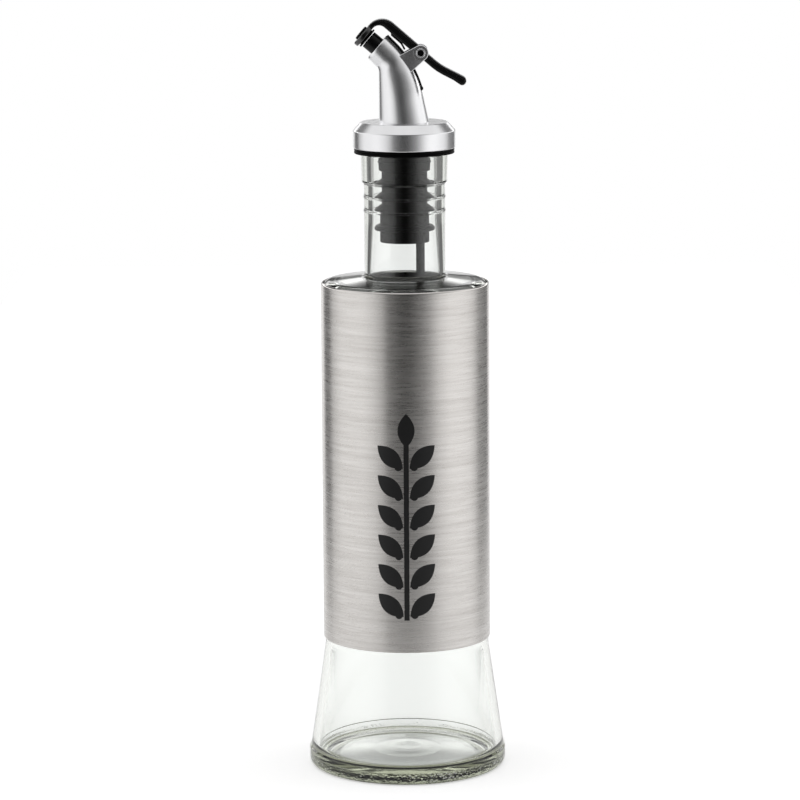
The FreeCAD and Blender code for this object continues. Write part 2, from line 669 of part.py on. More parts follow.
def lever():
    """Flip lever: end ring, hook, bar, hub and tail, with a shallow groove along each side."""
    shape = plate(bar_corners(), LEVER_WIDTH).fuse(plate(tail_corners(), LEVER_WIDTH))
    for side in (-1, 1):
        middle_y = side * (LEVER_WIDTH / 2 + 1.0 - LEVER_GROOVE_DEPTH)
        shape = shape.cut(plate(bar_corners(LEVER_GROOVE_INSET), 2.0, middle_y))
        shape = shape.cut(plate(tail_corners(LEVER_GROOVE_INSET), 2.0, middle_y))
    hub_start = PIN_CENTRE + Vec(0, -LEVER_WIDTH / 2, 0)
    ring_start = RING_CENTRE - MOUTH_WAY * (RING_THICKNESS / 2)
    shape = shape.fuse(rod(LEVER_HUB_RADIUS, hub_start, Vec(0, 1, 0), LEVER_WIDTH))
    shape = shape.fuse(rod(RING_RADIUS, ring_start, MOUTH_WAY, RING_THICKNESS))
    shape = shape.fuse(tail_bulb()).fuse(stop_rib())
    stem_hole = rod(CAP_STEM_RADIUS, ring_start - MOUTH_WAY, MOUTH_WAY, RING_THICKNESS + 2.0)
    hub_radius = PIN_RADIUS + PIN_LEVER_CLEARANCE
    hub_hole = rod(hub_radius, hub_start - Vec(0, 1, 0), Vec(0, 1, 0), LEVER_WIDTH + 2.0)
    return shape.cut(stem_hole).cut(hub_hole)


def spout_cap():
    """Rubber cap held in the lever's ring: sealing flange, neck, stem and button."""
    flange_at = NOZZLE_PROUD + CAP_NOZZLE_GAP
    ring_low = RING_DISTANCE - RING_THICKNESS / 2
    ring_high = RING_DISTANCE + RING_THICKNESS / 2
    stages = (
        (CAP_FLANGE_RADIUS, flange_at, CAP_FLANGE_THICKNESS),
        (CAP_NECK_RADIUS, flange_at, ring_low - flange_at),
        (CAP_STEM_RADIUS, flange_at, ring_high - flange_at),
        (CAP_BUTTON_RADIUS, ring_high, CAP_BUTTON_THICKNESS),
    )
    shape = None
    for radius, distance, length in stages:
        stage = rod(radius, MOUTH_CENTRE + MOUTH_WAY * distance, MOUTH_WAY, length)
        shape = stage if shape is None else shape.fuse(stage)
    return shape


# ---- write the pieces ---------------------------------------------------------------------
os.makedirs("parts", exist_ok=True)
BODY = spout_body()
save("glass_bottle", glass_bottle())
save("steel_sleeve", steel_sleeve())
save("gasket_ring", gasket_ring())
save("stopper_plug", stopper_plug())
save("vent_tube", vent_tube())
save("spout_body", BODY)
save("nozzle_tip", nozzle_tip())
save("vent_strip", vent_strip(BODY))
save("hinge_pin", hinge_pin())
save("lever", lever())
save("spout_cap", spout_cap())
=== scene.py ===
"""Clear glass oil bottle with a brushed steel sleeve, a finned stopper and a flip pourer.

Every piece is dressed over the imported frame, in metres and in the frame's own place. The sizes
in the classes are in millimetres, and the scales of noise count cells per metre.
"""

import logging
import math
from collections.abc import Iterator, Mapping, Sequence
from dataclasses import dataclass
from enum import Enum
from typing import Any, Union

import bmesh
import bpy
from mathutils import Matrix, Vector

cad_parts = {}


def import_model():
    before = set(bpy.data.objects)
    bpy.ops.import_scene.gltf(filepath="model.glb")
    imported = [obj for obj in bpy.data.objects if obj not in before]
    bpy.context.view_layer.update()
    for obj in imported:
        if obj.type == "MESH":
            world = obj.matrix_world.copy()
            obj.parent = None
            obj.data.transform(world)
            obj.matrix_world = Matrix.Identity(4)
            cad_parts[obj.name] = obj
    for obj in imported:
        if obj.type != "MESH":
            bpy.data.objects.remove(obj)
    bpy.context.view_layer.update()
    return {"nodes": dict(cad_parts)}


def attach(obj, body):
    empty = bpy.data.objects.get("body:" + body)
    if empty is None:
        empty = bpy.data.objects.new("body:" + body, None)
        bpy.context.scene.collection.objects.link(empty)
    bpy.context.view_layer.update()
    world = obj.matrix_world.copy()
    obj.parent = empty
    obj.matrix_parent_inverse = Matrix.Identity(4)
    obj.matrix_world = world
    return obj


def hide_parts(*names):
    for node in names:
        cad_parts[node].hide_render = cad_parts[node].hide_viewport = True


LOG = logging.getLogger("oil_bottle")
MM = 0.001
Y_AXIS = Vector((0.0, 1.0, 0.0))
Z_AXIS = Vector((0.0, 0.0, 1.0))
WHITE = (1.0, 1.0, 1.0, 1.0)
ARC_STEP = 9.0  # degrees that one segment of a rounding turns
ARM_SHARE = 0.98  # how much of an edge a rounding may take up
BRACE = 0.25  # how far from its ends a long edge is split
SEAM = 1e-7  # metres within which the two ends of a spin are one
OUTLINE_MERGE = 0.12
BEVEL_MERGE = 0.06
GROOVE_SLOPE = 0.6
SHARP = math.radians(35.0)
Socket = Union[bpy.types.NodeSocket, bpy.types.Node, float, tuple]


class Slot(Enum):
    """Names for the material slots."""

    GLASS = "clear_glass"
    STEEL = "brushed_steel"
    RUBBER = "black_rubber"
    TUBE = "dark_plastic_tube"
    METAL = "satin_metal"
    PLASTIC = "black_plastic"
    LEVER = "lever_plastic"


class Body(Enum):
    """The bodies that pieces ride on."""

    BOTTLE = "bottle"
    FLIP = "flip_lever"


# ---- shared shader and mesh tools ---------------------------------------------------------


def linear(hex_code: str) -> tuple[float, float, float, float]:
    """Turn a display colour into the linear colour that shaders take.

    Args:
        hex_code: Six hex digits, such as "d8d4d0".

    Returns:
        Red, green, blue and an alpha of one.
    """
    parts = [int(hex_code[start:start + 2], 16) / 255 for start in (0, 2, 4)]
    low = [part / 12.92 if part <= 0.04045 else ((part + 0.055) / 1.055) ** 2.4 for part in parts]
    return (low[0], low[1], low[2], 1.0)


class Graph:
    """A node tree that is written from scratch."""

    def __init__(self, tree: bpy.types.NodeTree) -> None:
        """Take over a node tree and empty it."""
        self.tree = tree
        tree.nodes.clear()

    def add(
        self, kind: str, inputs: Mapping[Any, Socket] | None = None, **settings: Any,
    ) -> bpy.types.Node:
        """Add one node.

        Args:
            kind: The node's type, without its "ShaderNode" start.
            inputs: What goes into its sockets, by name or number: a value, a socket, or a node,
                which stands for its first output.
            settings: The node's own properties.

        Returns:
            The new node.
        """
        node = self.tree.nodes.new("ShaderNode" + kind)
        for name, value in settings.items():
            setattr(node, name, value)
        for key, value in (inputs or {}).items():
            if isinstance(value, bpy.types.Node):
                value = value.outputs[0]
            if isinstance(value, bpy.types.NodeSocket):
                self.tree.links.new(value, node.inputs[key])
            else:
                node.inputs[key].default_value = value
        return node


def new_material(name: str) -> tuple[bpy.types.Material, Graph]:
    """Make a material and its empty graph.

    Args:
        name: The material's name.

    Returns:
        The material and its graph.
    """
    material = bpy.data.materials.new(name)
    material.use_nodes = True
    return material, Graph(material.node_tree)


def set_greys(ramp: bpy.types.ColorRamp, stops: Sequence[tuple[float, float]]) -> None:
    """Put grey stops on a ramp.

    Args:
        ramp: The ramp.
        stops: Where each stop lies between zero and one, and its level.
    """
    while len(ramp.elements) < len(stops):
        ramp.elements.new(0.5)
    for element, (spot, _) in zip(ramp.elements, stops):
        element.position = spot
    for element, (_, level) in zip(ramp.elements, stops):
        element.color = (level, level, level, 1.0)


@dataclass(frozen=True)
class Corner:
    """One corner of an outline."""

    across: float
    height: float
    rounding: float = 0.0


def round_corner(bm: bmesh.types.BMesh, vert: bmesh.types.BMVert, radius: float) -> None:
    """Round the place where two edges of an outline meet.

    Args:
        bm: The mesh that holds the outline.
        vert: The corner.
        radius: The rounding's radius in metres.
    """
    arms = [edge.other_vert(vert).co - vert.co for edge in vert.link_edges]
    if len(arms) != 2:
        return
    opening = arms[0].angle(arms[1])
    reach = min(radius / math.tan(opening / 2), ARM_SHARE * min(arm.length for arm in arms))
    segments = max(2, round(math.degrees(math.pi - opening) / ARC_STEP))
    bmesh.ops.bevel(
        bm, geom=[vert], offset=reach, offset_type="OFFSET", segments=segments, profile=0.5,
        affect="VERTICES", material=-1,
    )


def brace_runs(bm: bmesh.types.BMesh, reach: float) -> None:
    """Split long straight edges near both ends, so that smooth shading stays true along them.

    Args:
        bm: The mesh that holds the outline.
        reach: The distance of the splits from the ends, in metres.
    """
    for edge in [edge for edge in bm.edges if edge.calc_length() > 3 * reach]:
        first, second = edge.verts
        share = reach / edge.calc_length()
        rest, _ = bmesh.utils.edge_split(edge, first, share)
        inner = edge if second in edge.verts else rest
        bmesh.utils.edge_split(inner, second, share / (1 - share))


def outline(bm: bmesh.types.BMesh, corners: Sequence[Corner], closed: bool) -> None:
    """Draw an outline with rounded corners in the XZ plane.

    Args:
        bm: The mesh that takes the outline.
        corners: Its corners in order.
        closed: Whether the last corner joins the first.
    """
    verts = [bm.verts.new((c.across * MM, 0.0, c.height * MM)) for c in corners]
    pairs = list(zip(verts, verts[1:]))
    if closed:
        pairs.append((verts[-1], verts[0]))
    for pair in pairs:
        bm.edges.new(pair)
    for vert, corner in zip(verts, corners):
        if corner.rounding > 0:
            round_corner(bm, vert, corner.rounding * MM)


def turned(corners: Sequence[Corner], closed: bool, steps: int = 192) -> bmesh.types.BMesh:
    """Turn an outline about the Z axis.

    Args:
        corners: The outline's corners in order.
        closed: Whether the outline is a ring; an open one starts and ends on the axis.
        steps: How many steps go round.

    Returns:
        A closed mesh with its faces outwards.
    """
    bm = bmesh.new()
    outline(bm, corners, closed)
    brace_runs(bm, BRACE * MM)
    bmesh.ops.spin(
        bm, geom=bm.verts[:] + bm.edges[:], cent=(0, 0, 0), axis=Z_AXIS, dvec=(0, 0, 0),
        angle=2 * math.pi, steps=steps, use_merge=True, use_duplicate=False,
    )
    bmesh.ops.remove_doubles(bm, verts=bm.verts[:], dist=SEAM)
    bmesh.ops.recalc_face_normals(bm, faces=bm.faces[:])
    return bm


def drum(radius: float, half: float, low: float, high: float, steps: int) -> bmesh.types.BMesh:
    """Turn a solid round slab about the Z axis, with its middle on the origin.

    Args:
        radius: Its radius.
        half: Half its thickness.
        low: The rounding of its lower edge.
        high: The rounding of its upper edge.
        steps: How many steps go round.

    Returns:
        The slab's mesh.
    """
    corners = [Corner(0, -half), Corner(radius, -half, low), Corner(radius, half, high)]
    return turned([*corners, Corner(0, half)], closed=False, steps=steps)


def pipe(
    bore: float, radius: float, ends: tuple[float, float], rounds: tuple[float, ...], steps: int,
) -> bmesh.types.BMesh:
    """Turn a pipe about the Z axis.

    Args:
        bore: The radius of its bore.
        radius: Its outer radius.
        ends: The heights of its lower and its upper end.
        rounds: The roundings of its edges: lower inner and outer, then upper outer and inner.
        steps: How many steps go round.

    Returns:
        The pipe's mesh.
    """
    low, high = ends
    spots = ((bore, low), (radius, low), (radius, high), (bore, high))
    corners = [Corner(*spot, rounding) for spot, rounding in zip(spots, rounds)]
    return turned(corners, closed=True, steps=steps)


def place(
    bm: bmesh.types.BMesh, name: str, body: Body, material: bpy.types.Material,
    stands_for: str,
) -> None:
    """Make a finished object of a mesh and tie it to the frame.

    Args:
        bm: The mesh, in place and in metres. It is freed.
        name: The piece's name.
        body: The body that it rides on.
        material: Its material.
        stands_for: The frame's node that it replaces.
    """
    mesh = bpy.data.meshes.new(name)
    bm.to_mesh(mesh)
    bm.free()
    mesh.shade_smooth()
    mesh.set_sharp_from_angle(angle=SHARP)
    mesh.materials.append(material)
    piece = bpy.data.objects.new(name, mesh)
    bpy.context.scene.collection.objects.link(piece)
    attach(piece, body.value)
    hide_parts(stands_for)
    LOG.info("piece %s: %d faces", name, len(mesh.polygons))


def aim(bm: bmesh.types.BMesh, way: Vector, at: Vector) -> None:
    """Swing a mesh that stands on the origin along Z into its place.

    Args:
        bm: The mesh.
        way: Where its Z axis goes.
        at: Where its origin goes, in millimetres.
    """
    swing = way.to_track_quat("Z", "Y").to_matrix().to_4x4()
    bmesh.ops.transform(bm, matrix=Matrix.Translation(at * MM) @ swing, verts=bm.verts[:])


def absorb(bm: bmesh.types.BMesh, parts: Sequence[bmesh.types.BMesh]) -> None:
    """Add meshes to another one and free them.

    Args:
        bm: The mesh that grows.
        parts: The meshes that join it.
    """
    for part in parts:
        loose = bpy.data.meshes.new("loose")
        part.to_mesh(loose)
        part.free()
        bm.from_mesh(loose)
        bpy.data.meshes.remove(loose)


def slab(
    points: Sequence[tuple[Vector, float]], width: float, edge: float, inset: float = 0.0,
    groove: float = 0.0,
) -> bmesh.types.BMesh:
    """Extrude an outline across the bottle, with its middle on the XZ plane.

    Args:
        points: The outline's corners and their roundings.
        width: The slab's width.
        edge: The rounding of its long edges.
        inset: How far a groove on each side stays from the outline.
        groove: The groove's depth; zero for none.

    Returns:
        The slab's mesh.
    """
    bm = bmesh.new()
    outline(bm, [Corner(point.x, point.z, rounding) for point, rounding in points], closed=True)
    bmesh.ops.remove_doubles(bm, verts=bm.verts[:], dist=OUTLINE_MERGE * MM)
    face = bmesh.ops.edgeloop_fill(bm, edges=bm.edges[:])["faces"]
    bmesh.ops.translate(bm, verts=bm.verts[:], vec=(0, -width / 2 * MM, 0))
    grown = bmesh.ops.extrude_face_region(bm, geom=face)["geom"]
    moved = [item for item in grown if isinstance(item, bmesh.types.BMVert)]
    bmesh.ops.translate(bm, verts=moved, vec=(0, width * MM, 0))
    bmesh.ops.recalc_face_normals(bm, faces=bm.faces[:])
    sides = [f for f in bm.faces if abs(f.normal.y) > 0.9]
    rim = list({e for f in sides for e in f.edges})
    bmesh.ops.bevel(
        bm, geom=rim, offset=edge * MM, offset_type="OFFSET", segments=4, profile=0.5,
        affect="EDGES", clamp_overlap=True, material=-1,
    )
    bmesh.ops.remove_doubles(bm, verts=bm.verts[:], dist=BEVEL_MERGE * MM)
    for sign in (-1, 1) if groove else ():
        flat = [f for f in bm.faces if f.normal.y * sign > 0.99]
        side = max(flat, key=lambda f: f.calc_area())
        for thickness, depth in ((inset - edge, 0.0), (GROOVE_SLOPE * groove, -groove)):
            bmesh.ops.inset_region(
                bm, faces=[side], thickness=thickness * MM, depth=depth * MM,
                use_even_offset=True,
            )
    return bm


# ---- finishes -----------------------------------------------------------------------------


@dataclass(frozen=True)
class PressedGlass:
    """Clear soda-lime glass, pressed at its foot.

    Its walls are polished. Where light runs through a thick part it takes on an olive cast, and
    a stippled ring under the foot sparkles through the heel. The underside below about 1.3 mm is
    tinted dark olive: painted shade for the shadow under the foot, seen through the heel.
    """

    clear: str = "feffff"
    tint: str = "acb28c"
    # Painted shade: the dark olive laid on the underside for the shadow under the foot, and the
    # heights over which it fades out.
    foot_painted_shade: str = "565b34"
    density: float = 23.0
    index: float = 1.52
    foot_shade_span: tuple[float, float] = (0.3, 1.3)
    stipple_top: float = 4.8
    stipple_fade: float = 0.8
    fleck: float = 1.2
    fleck_squash: float = 1.6
    fleck_from: float = 33.0
    fleck_share: tuple[float, float] = (0.10, 0.42)
    patch_scale: float = 70.0
    patch_range: tuple[float, float] = (0.4, 0.6)
    frost_clear: float = 0.55
    frost_rough: float = 0.3
    relief: tuple[float, float] = (0.5, 0.25)
    wave_scale: float = 55.0
    wave: tuple[float, float] = (0.14, 0.12)

    def material(self) -> bpy.types.Material:
        """Build the glass.

        Returns:
            The glass's material.
        """
        material, graph = new_material("clear_pressed_glass")
        spot = graph.add("TexCoord").outputs["Object"]
        height = graph.add("SeparateXYZ", {0: spot}).outputs["Z"]
        # Painted shade mask: one at the very bottom of the underside, fading to nothing higher
        # up.
        foot = graph.add("MapRange", {
            "Value": height, "From Min": self.foot_shade_span[0] * MM,
            "From Max": self.foot_shade_span[1] * MM, "To Min": 1.0, "To Max": 0.0,
        })
        band = graph.add("MapRange", {
            "Value": height, "From Min": self.stipple_fade * self.stipple_top * MM,
            "From Max": self.stipple_top * MM, "To Min": 1.0, "To Max": 0.0,
        })
        squash = graph.add("Mapping", {"Vector": spot, "Scale": (1.0, 1.0, self.fleck_squash)})
        dots = graph.add("TexVoronoi", {"Vector": squash, "Scale": 1 / (self.fleck * MM)})
        patch = graph.add("TexNoise", {"Vector": spot, "Scale": self.patch_scale, "Detail": 3.0})
        sway = graph.add("TexNoise", {"Vector": spot, "Scale": self.wave_scale, "Detail": 1.0})
        limit = graph.add("MapRange", {
            "Value": patch, "From Min": self.patch_range[0], "From Max": self.patch_range[1],
            "To Min": self.fleck_share[0], "To Max": self.fleck_share[1],
        })
        fleck = graph.add("Math", {0: dots, 1: limit}, operation="LESS_THAN")
        low = graph.add("Math", {0: band, 1: fleck}, operation="MULTIPLY")
        flat = graph.add("VectorMath", {0: spot, 1: (1.0, 1.0, 0.0)}, operation="MULTIPLY")
        reach = graph.add("VectorMath", {0: flat}, operation="LENGTH").outputs["Value"]
        wall = graph.add("Math", {0: reach, 1: self.fleck_from * MM}, operation="GREATER_THAN")
        frost = graph.add("Math", {0: low, 1: wall}, operation="MULTIPLY")
        see = graph.add("MapRange", {"Value": frost, "To Min": 1.0, "To Max": self.frost_clear})
        rough = graph.add("Math", {0: frost, 1: self.frost_rough}, operation="MULTIPLY")
        raised = graph.add("Math", {0: band, 1: wall}, operation="MULTIPLY")
        peaks = graph.add("Math", {0: dots, 1: raised}, operation="MULTIPLY")
        relief = graph.add("Bump", {
            "Height": peaks, "Strength": self.relief[0], "Distance": self.relief[1] * MM,
        })
        waves = graph.add("Bump", {
            "Height": sway, "Normal": relief, "Strength": self.wave[0],
            "Distance": self.wave[1] * MM,
        })
        # Painted shade: the underside's colour is mixed towards dark olive, standing in for the
        # shadow under the foot.
        cast = graph.add("Mix", {
            "Factor": foot, 6: linear(self.clear), 7: linear(self.foot_painted_shade),
        }, data_type="RGBA")
        surface = graph.add("BsdfPrincipled", {
            "Base Color": cast.outputs[2], "Roughness": rough, "IOR": self.index,
            "Transmission Weight": see, "Normal": waves,
        })
        inside = graph.add("VolumeAbsorption", {
            "Color": linear(self.tint), "Density": self.density,
        })
        graph.add("OutputMaterial", {"Surface": surface, "Volume": inside})
        return material


@dataclass(frozen=True)
class LeafSprig:
    """A printed sprig: a stem with pairs of pointed leaves and small fruit, and a leaf on top."""

    foot: float = 61.0
    pitch: float = 11.0
    pairs: int = 6
    stem_half: float = 0.95
    leaf_across: float = 5.9
    leaf_up: float = 5.6
    leaf_length: float = 6.3
    leaf_width: float = 3.1
    leaf_degrees: float = 42.0
    top_leaf: float = 0.7
    fruit_across: float = 2.9
    fruit_up: float = 1.9
    fruit_radius: float = 1.35

    def leaf(self, name: str, along: str, off: str) -> list[tuple[str, str, Any, Any]]:
        """Give the sums that mark a leaf with two pointed ends.

        Args:
            name: What the mark is called; it is one inside the leaf.
            along: The name of the distance from the leaf's middle along it.
            off: The name of the distance from its midrib.

        Returns:
            Each sum's name, its operation and its two terms.
        """
        return [
            (name + "_length", "DIVIDE", along, self.leaf_length),
            (name + "_curve", "POWER", name + "_length", 2.0),
            (name + "_side", "ABSOLUTE", off, 0.0),
            (name + "_width", "DIVIDE", name + "_side", self.leaf_width),
            (name + "_total", "ADD", name + "_curve", name + "_width"),
            (name, "LESS_THAN", name + "_total", 1.0),
        ]

    def mask(self, graph: Graph, arc: Socket, height: Socket) -> Socket:
        """Mark where the ink lies.

        Args:
            graph: The material's graph.
            arc: Distance round the sleeve from its front.
            height: Height above the table.

        Returns:
            What gives one on the ink and zero beside it.
        """
        turn = math.radians(self.leaf_degrees)
        top = self.pitch * self.pairs
        sums = [
            ("side", "ABSOLUTE", "arc", 0.0),
            ("climb", "SUBTRACT", "height", self.foot),
            ("step", "MODULO", "climb", self.pitch),
            ("out", "SUBTRACT", "side", self.leaf_across),
            ("up", "SUBTRACT", "step", self.leaf_up),
            ("out_along", "MULTIPLY", "out", math.cos(turn)),
            ("up_along", "MULTIPLY", "up", math.sin(turn)),
            ("along", "ADD", "out_along", "up_along"),
            ("up_off", "MULTIPLY", "up", math.cos(turn)),
            ("out_off", "MULTIPLY", "out", math.sin(turn)),
            ("off", "SUBTRACT", "up_off", "out_off"),
            *self.leaf("leaf", "along", "off"),
            ("fruit_out", "SUBTRACT", "side", self.fruit_across),
            ("fruit_x", "POWER", "fruit_out", 2.0),
            ("fruit_rise", "SUBTRACT", "step", self.fruit_up),
            ("fruit_z", "POWER", "fruit_rise", 2.0),
            ("fruit_gap", "ADD", "fruit_x", "fruit_z"),
            ("fruit", "LESS_THAN", "fruit_gap", self.fruit_radius ** 2),
            ("stem", "LESS_THAN", "side", self.stem_half),
            ("above", "GREATER_THAN", "climb", 0.0),
            ("below", "LESS_THAN", "climb", top),
            ("leaves", "MAXIMUM", "leaf", "fruit"),
            ("sprig", "MAXIMUM", "leaves", "stem"),
            ("span", "MULTIPLY", "above", "below"),
            ("within", "MULTIPLY", "sprig", "span"),
            ("tip_up", "SUBTRACT", "climb", top + self.top_leaf * self.leaf_length),
            *self.leaf("tip", "tip_up", "arc"),
            ("ink", "MAXIMUM", "within", "tip"),
        ]
        made: dict[Any, Socket] = {"arc": arc, "height": height}
        for name, kind, first, second in sums:
            terms = {0: made.get(first, first), 1: made.get(second, second)}
            made[name] = graph.add("Math", terms, operation=kind)
        return made["ink"]


@dataclass(frozen=True)
class BrushedSteel:
    """Stainless sheet, brushed round the tube.

    Its fine scratches draw each reflection out up and down. They are drawn coarser than real
    ones, so that they show.
    """

    radius: float = 31.0
    light: str = "eae7e4"
    dark: str = "c6c2be"
    ink: str = "101011"
    ink_rough: float = 0.42
    lip_from: float = 181.05
    lip_rough: float = 0.12
    hair: tuple[float, float, float] = (0.12, 0.12, 2.4)
    band: tuple[float, float, float] = (0.03, 0.03, 0.9)
    shade_range: tuple[float, float] = (0.6, 1.4)
    gloss: tuple[float, float] = (0.16, 0.42)
    relief: tuple[float, float] = (0.25, 0.03)
    stretch: float = 0.9
    print_on: LeafSprig = LeafSprig()

    def material(self) -> bpy.types.Material:
        """Build the brushed sheet with its polished lip and its printed sprig.

        Returns:
            The sheet's material.
        """
        material, graph = new_material("brushed_stainless_steel")
        spot = graph.add("VectorMath", {
            0: graph.add("TexCoord").outputs["Object"], "Scale": 1 / MM,
        }, operation="SCALE")
        axes = graph.add("SeparateXYZ", {0: spot})
        toward = graph.add("Math", {0: axes.outputs["Y"], 1: -1.0}, operation="MULTIPLY")
        angle = graph.add("Math", {0: axes.outputs["X"], 1: toward}, operation="ARCTAN2")
        arc = graph.add("Math", {0: angle, 1: self.radius}, operation="MULTIPLY")
        inked = self.print_on.mask(graph, arc, axes.outputs["Z"])
        hair = graph.add("Mapping", {"Vector": spot, "Scale": self.hair})
        scratches = graph.add("TexNoise", {
            "Vector": hair, "Scale": 1.0, "Detail": 5.0, "Roughness": 0.65,
        })
        band = graph.add("Mapping", {"Vector": spot, "Scale": self.band})
        bands = graph.add("TexNoise", {
            "Vector": band, "Scale": 1.0, "Detail": 3.0, "Roughness": 0.6,
        })
        both = graph.add("Math", {0: scratches, 1: bands}, operation="ADD")
        shade = graph.add("MapRange", {
            "Value": both, "From Min": self.shade_range[0], "From Max": self.shade_range[1],
        })
        sheet = graph.add("Mix", {
            "Factor": shade, 6: linear(self.dark), 7: linear(self.light),
        }, data_type="RGBA")
        colour = graph.add("Mix", {
            "Factor": inked, 6: sheet.outputs[2], 7: linear(self.ink),
        }, data_type="RGBA")
        bare = graph.add("Math", {0: 1.0, 1: inked}, operation="SUBTRACT")
        lip = graph.add("Math", {
            0: axes.outputs["Z"], 1: self.lip_from,
        }, operation="GREATER_THAN")
        grain = graph.add("MapRange", {
            "Value": scratches, "To Min": self.gloss[0], "To Max": self.gloss[1],
        })
        rough = graph.add("Mix", {"Factor": lip, 2: grain, 3: self.lip_rough})
        rough_ink = graph.add("Mix", {"Factor": inked, 2: rough, 3: self.ink_rough})
        relief = graph.add("Bump", {
            "Height": scratches, "Strength": self.relief[0], "Distance": self.relief[1] * MM,
        })
        around = graph.add("Tangent", direction_type="RADIAL", axis="Z")
        surface = graph.add("BsdfPrincipled", {
            "Base Color": colour.outputs[2], "Metallic": bare, "Roughness": rough_ink,
            "Anisotropic": self.stretch, "Anisotropic Rotation": 0.25, "Tangent": around,
            "Normal": relief,
        })
        graph.add("OutputMaterial", {"Surface": surface})
        return material


@dataclass(frozen=True)
class GrainedSkin:
    """A cast, moulded or extruded skin: fine grain, and a gloss that drifts a little over it."""

    name: str
    light: str
    dark: str
    gloss: tuple[float, float]
    grain_scale: float
    grain_depth: float
    specular: float = 0.5
    metallic: float = 0.0
    grain_strength: float = 0.2
    grain_detail: float = 2.0
    cloud_scale: float = 220.0
    cloud_detail: float = 3.0

    def material(self) -> bpy.types.Material:
        """Build the skin.

        Returns:
            The skin's material.
        """
        material, graph = new_material(self.name)
        spot = graph.add("TexCoord").outputs["Object"]
        cloud = graph.add("TexNoise", {
            "Vector": spot, "Scale": self.cloud_scale, "Detail": self.cloud_detail,
        })
        grain = graph.add("TexNoise", {
            "Vector": spot, "Scale": self.grain_scale, "Detail": self.grain_detail,
        })
        colour = graph.add("Mix", {
            "Factor": cloud, 6: linear(self.dark), 7: linear(self.light),
        }, data_type="RGBA")
        rough = graph.add("MapRange", {
            "Value": cloud, "To Min": self.gloss[0], "To Max": self.gloss[1],
        })
        relief = graph.add("Bump", {
            "Height": grain, "Strength": self.grain_strength, "Distance": self.grain_depth * MM,
        })
        surface = graph.add("BsdfPrincipled", {
            "Base Color": colour.outputs[2], "Metallic": self.metallic, "Roughness": rough,
            "Normal": relief, "Specular IOR Level": self.specular,
        })
        graph.add("OutputMaterial", {"Surface": surface})
        return material


# Plated casting: a little of its light is scattered, which lifts the dark reflections.
SATIN_PLATE = GrainedSkin(
    "satin_plated_metal", "f7f7f8", "ececee", (0.18, 0.25), 2600.0, 0.02, metallic=0.9,
    grain_strength=0.10, grain_detail=3.0, cloud_scale=160.0, cloud_detail=2.0,
)
# Moulded rubber: almost no shine.
RUBBER = GrainedSkin("matt_black_rubber", "080808", "040404", (0.32, 0.42), 1500.0, 0.04, 0.05)
# Hard black plastic with a low shine.
PLASTIC = GrainedSkin(
    "moulded_black_plastic", "0b0b0c", "050506", (0.24, 0.34), 1900.0, 0.03, 0.22,
)
# Hard black plastic from a polished mould: its rounded edges catch the light.
LEVER_SKIN = GrainedSkin(
    "semi_gloss_black_plastic", "0c0c0d", "060607", (0.11, 0.17), 1300.0, 0.02, 1.0,
)
# Extruded tube: smooth and smoky.
TUBE_SKIN = GrainedSkin(
    "smoky_extruded_plastic", "121213", "0a0a0b", (0.20, 0.30), 900.0, 0.02, 0.25,
)


# ---- the bottle ---------------------------------------------------------------------------


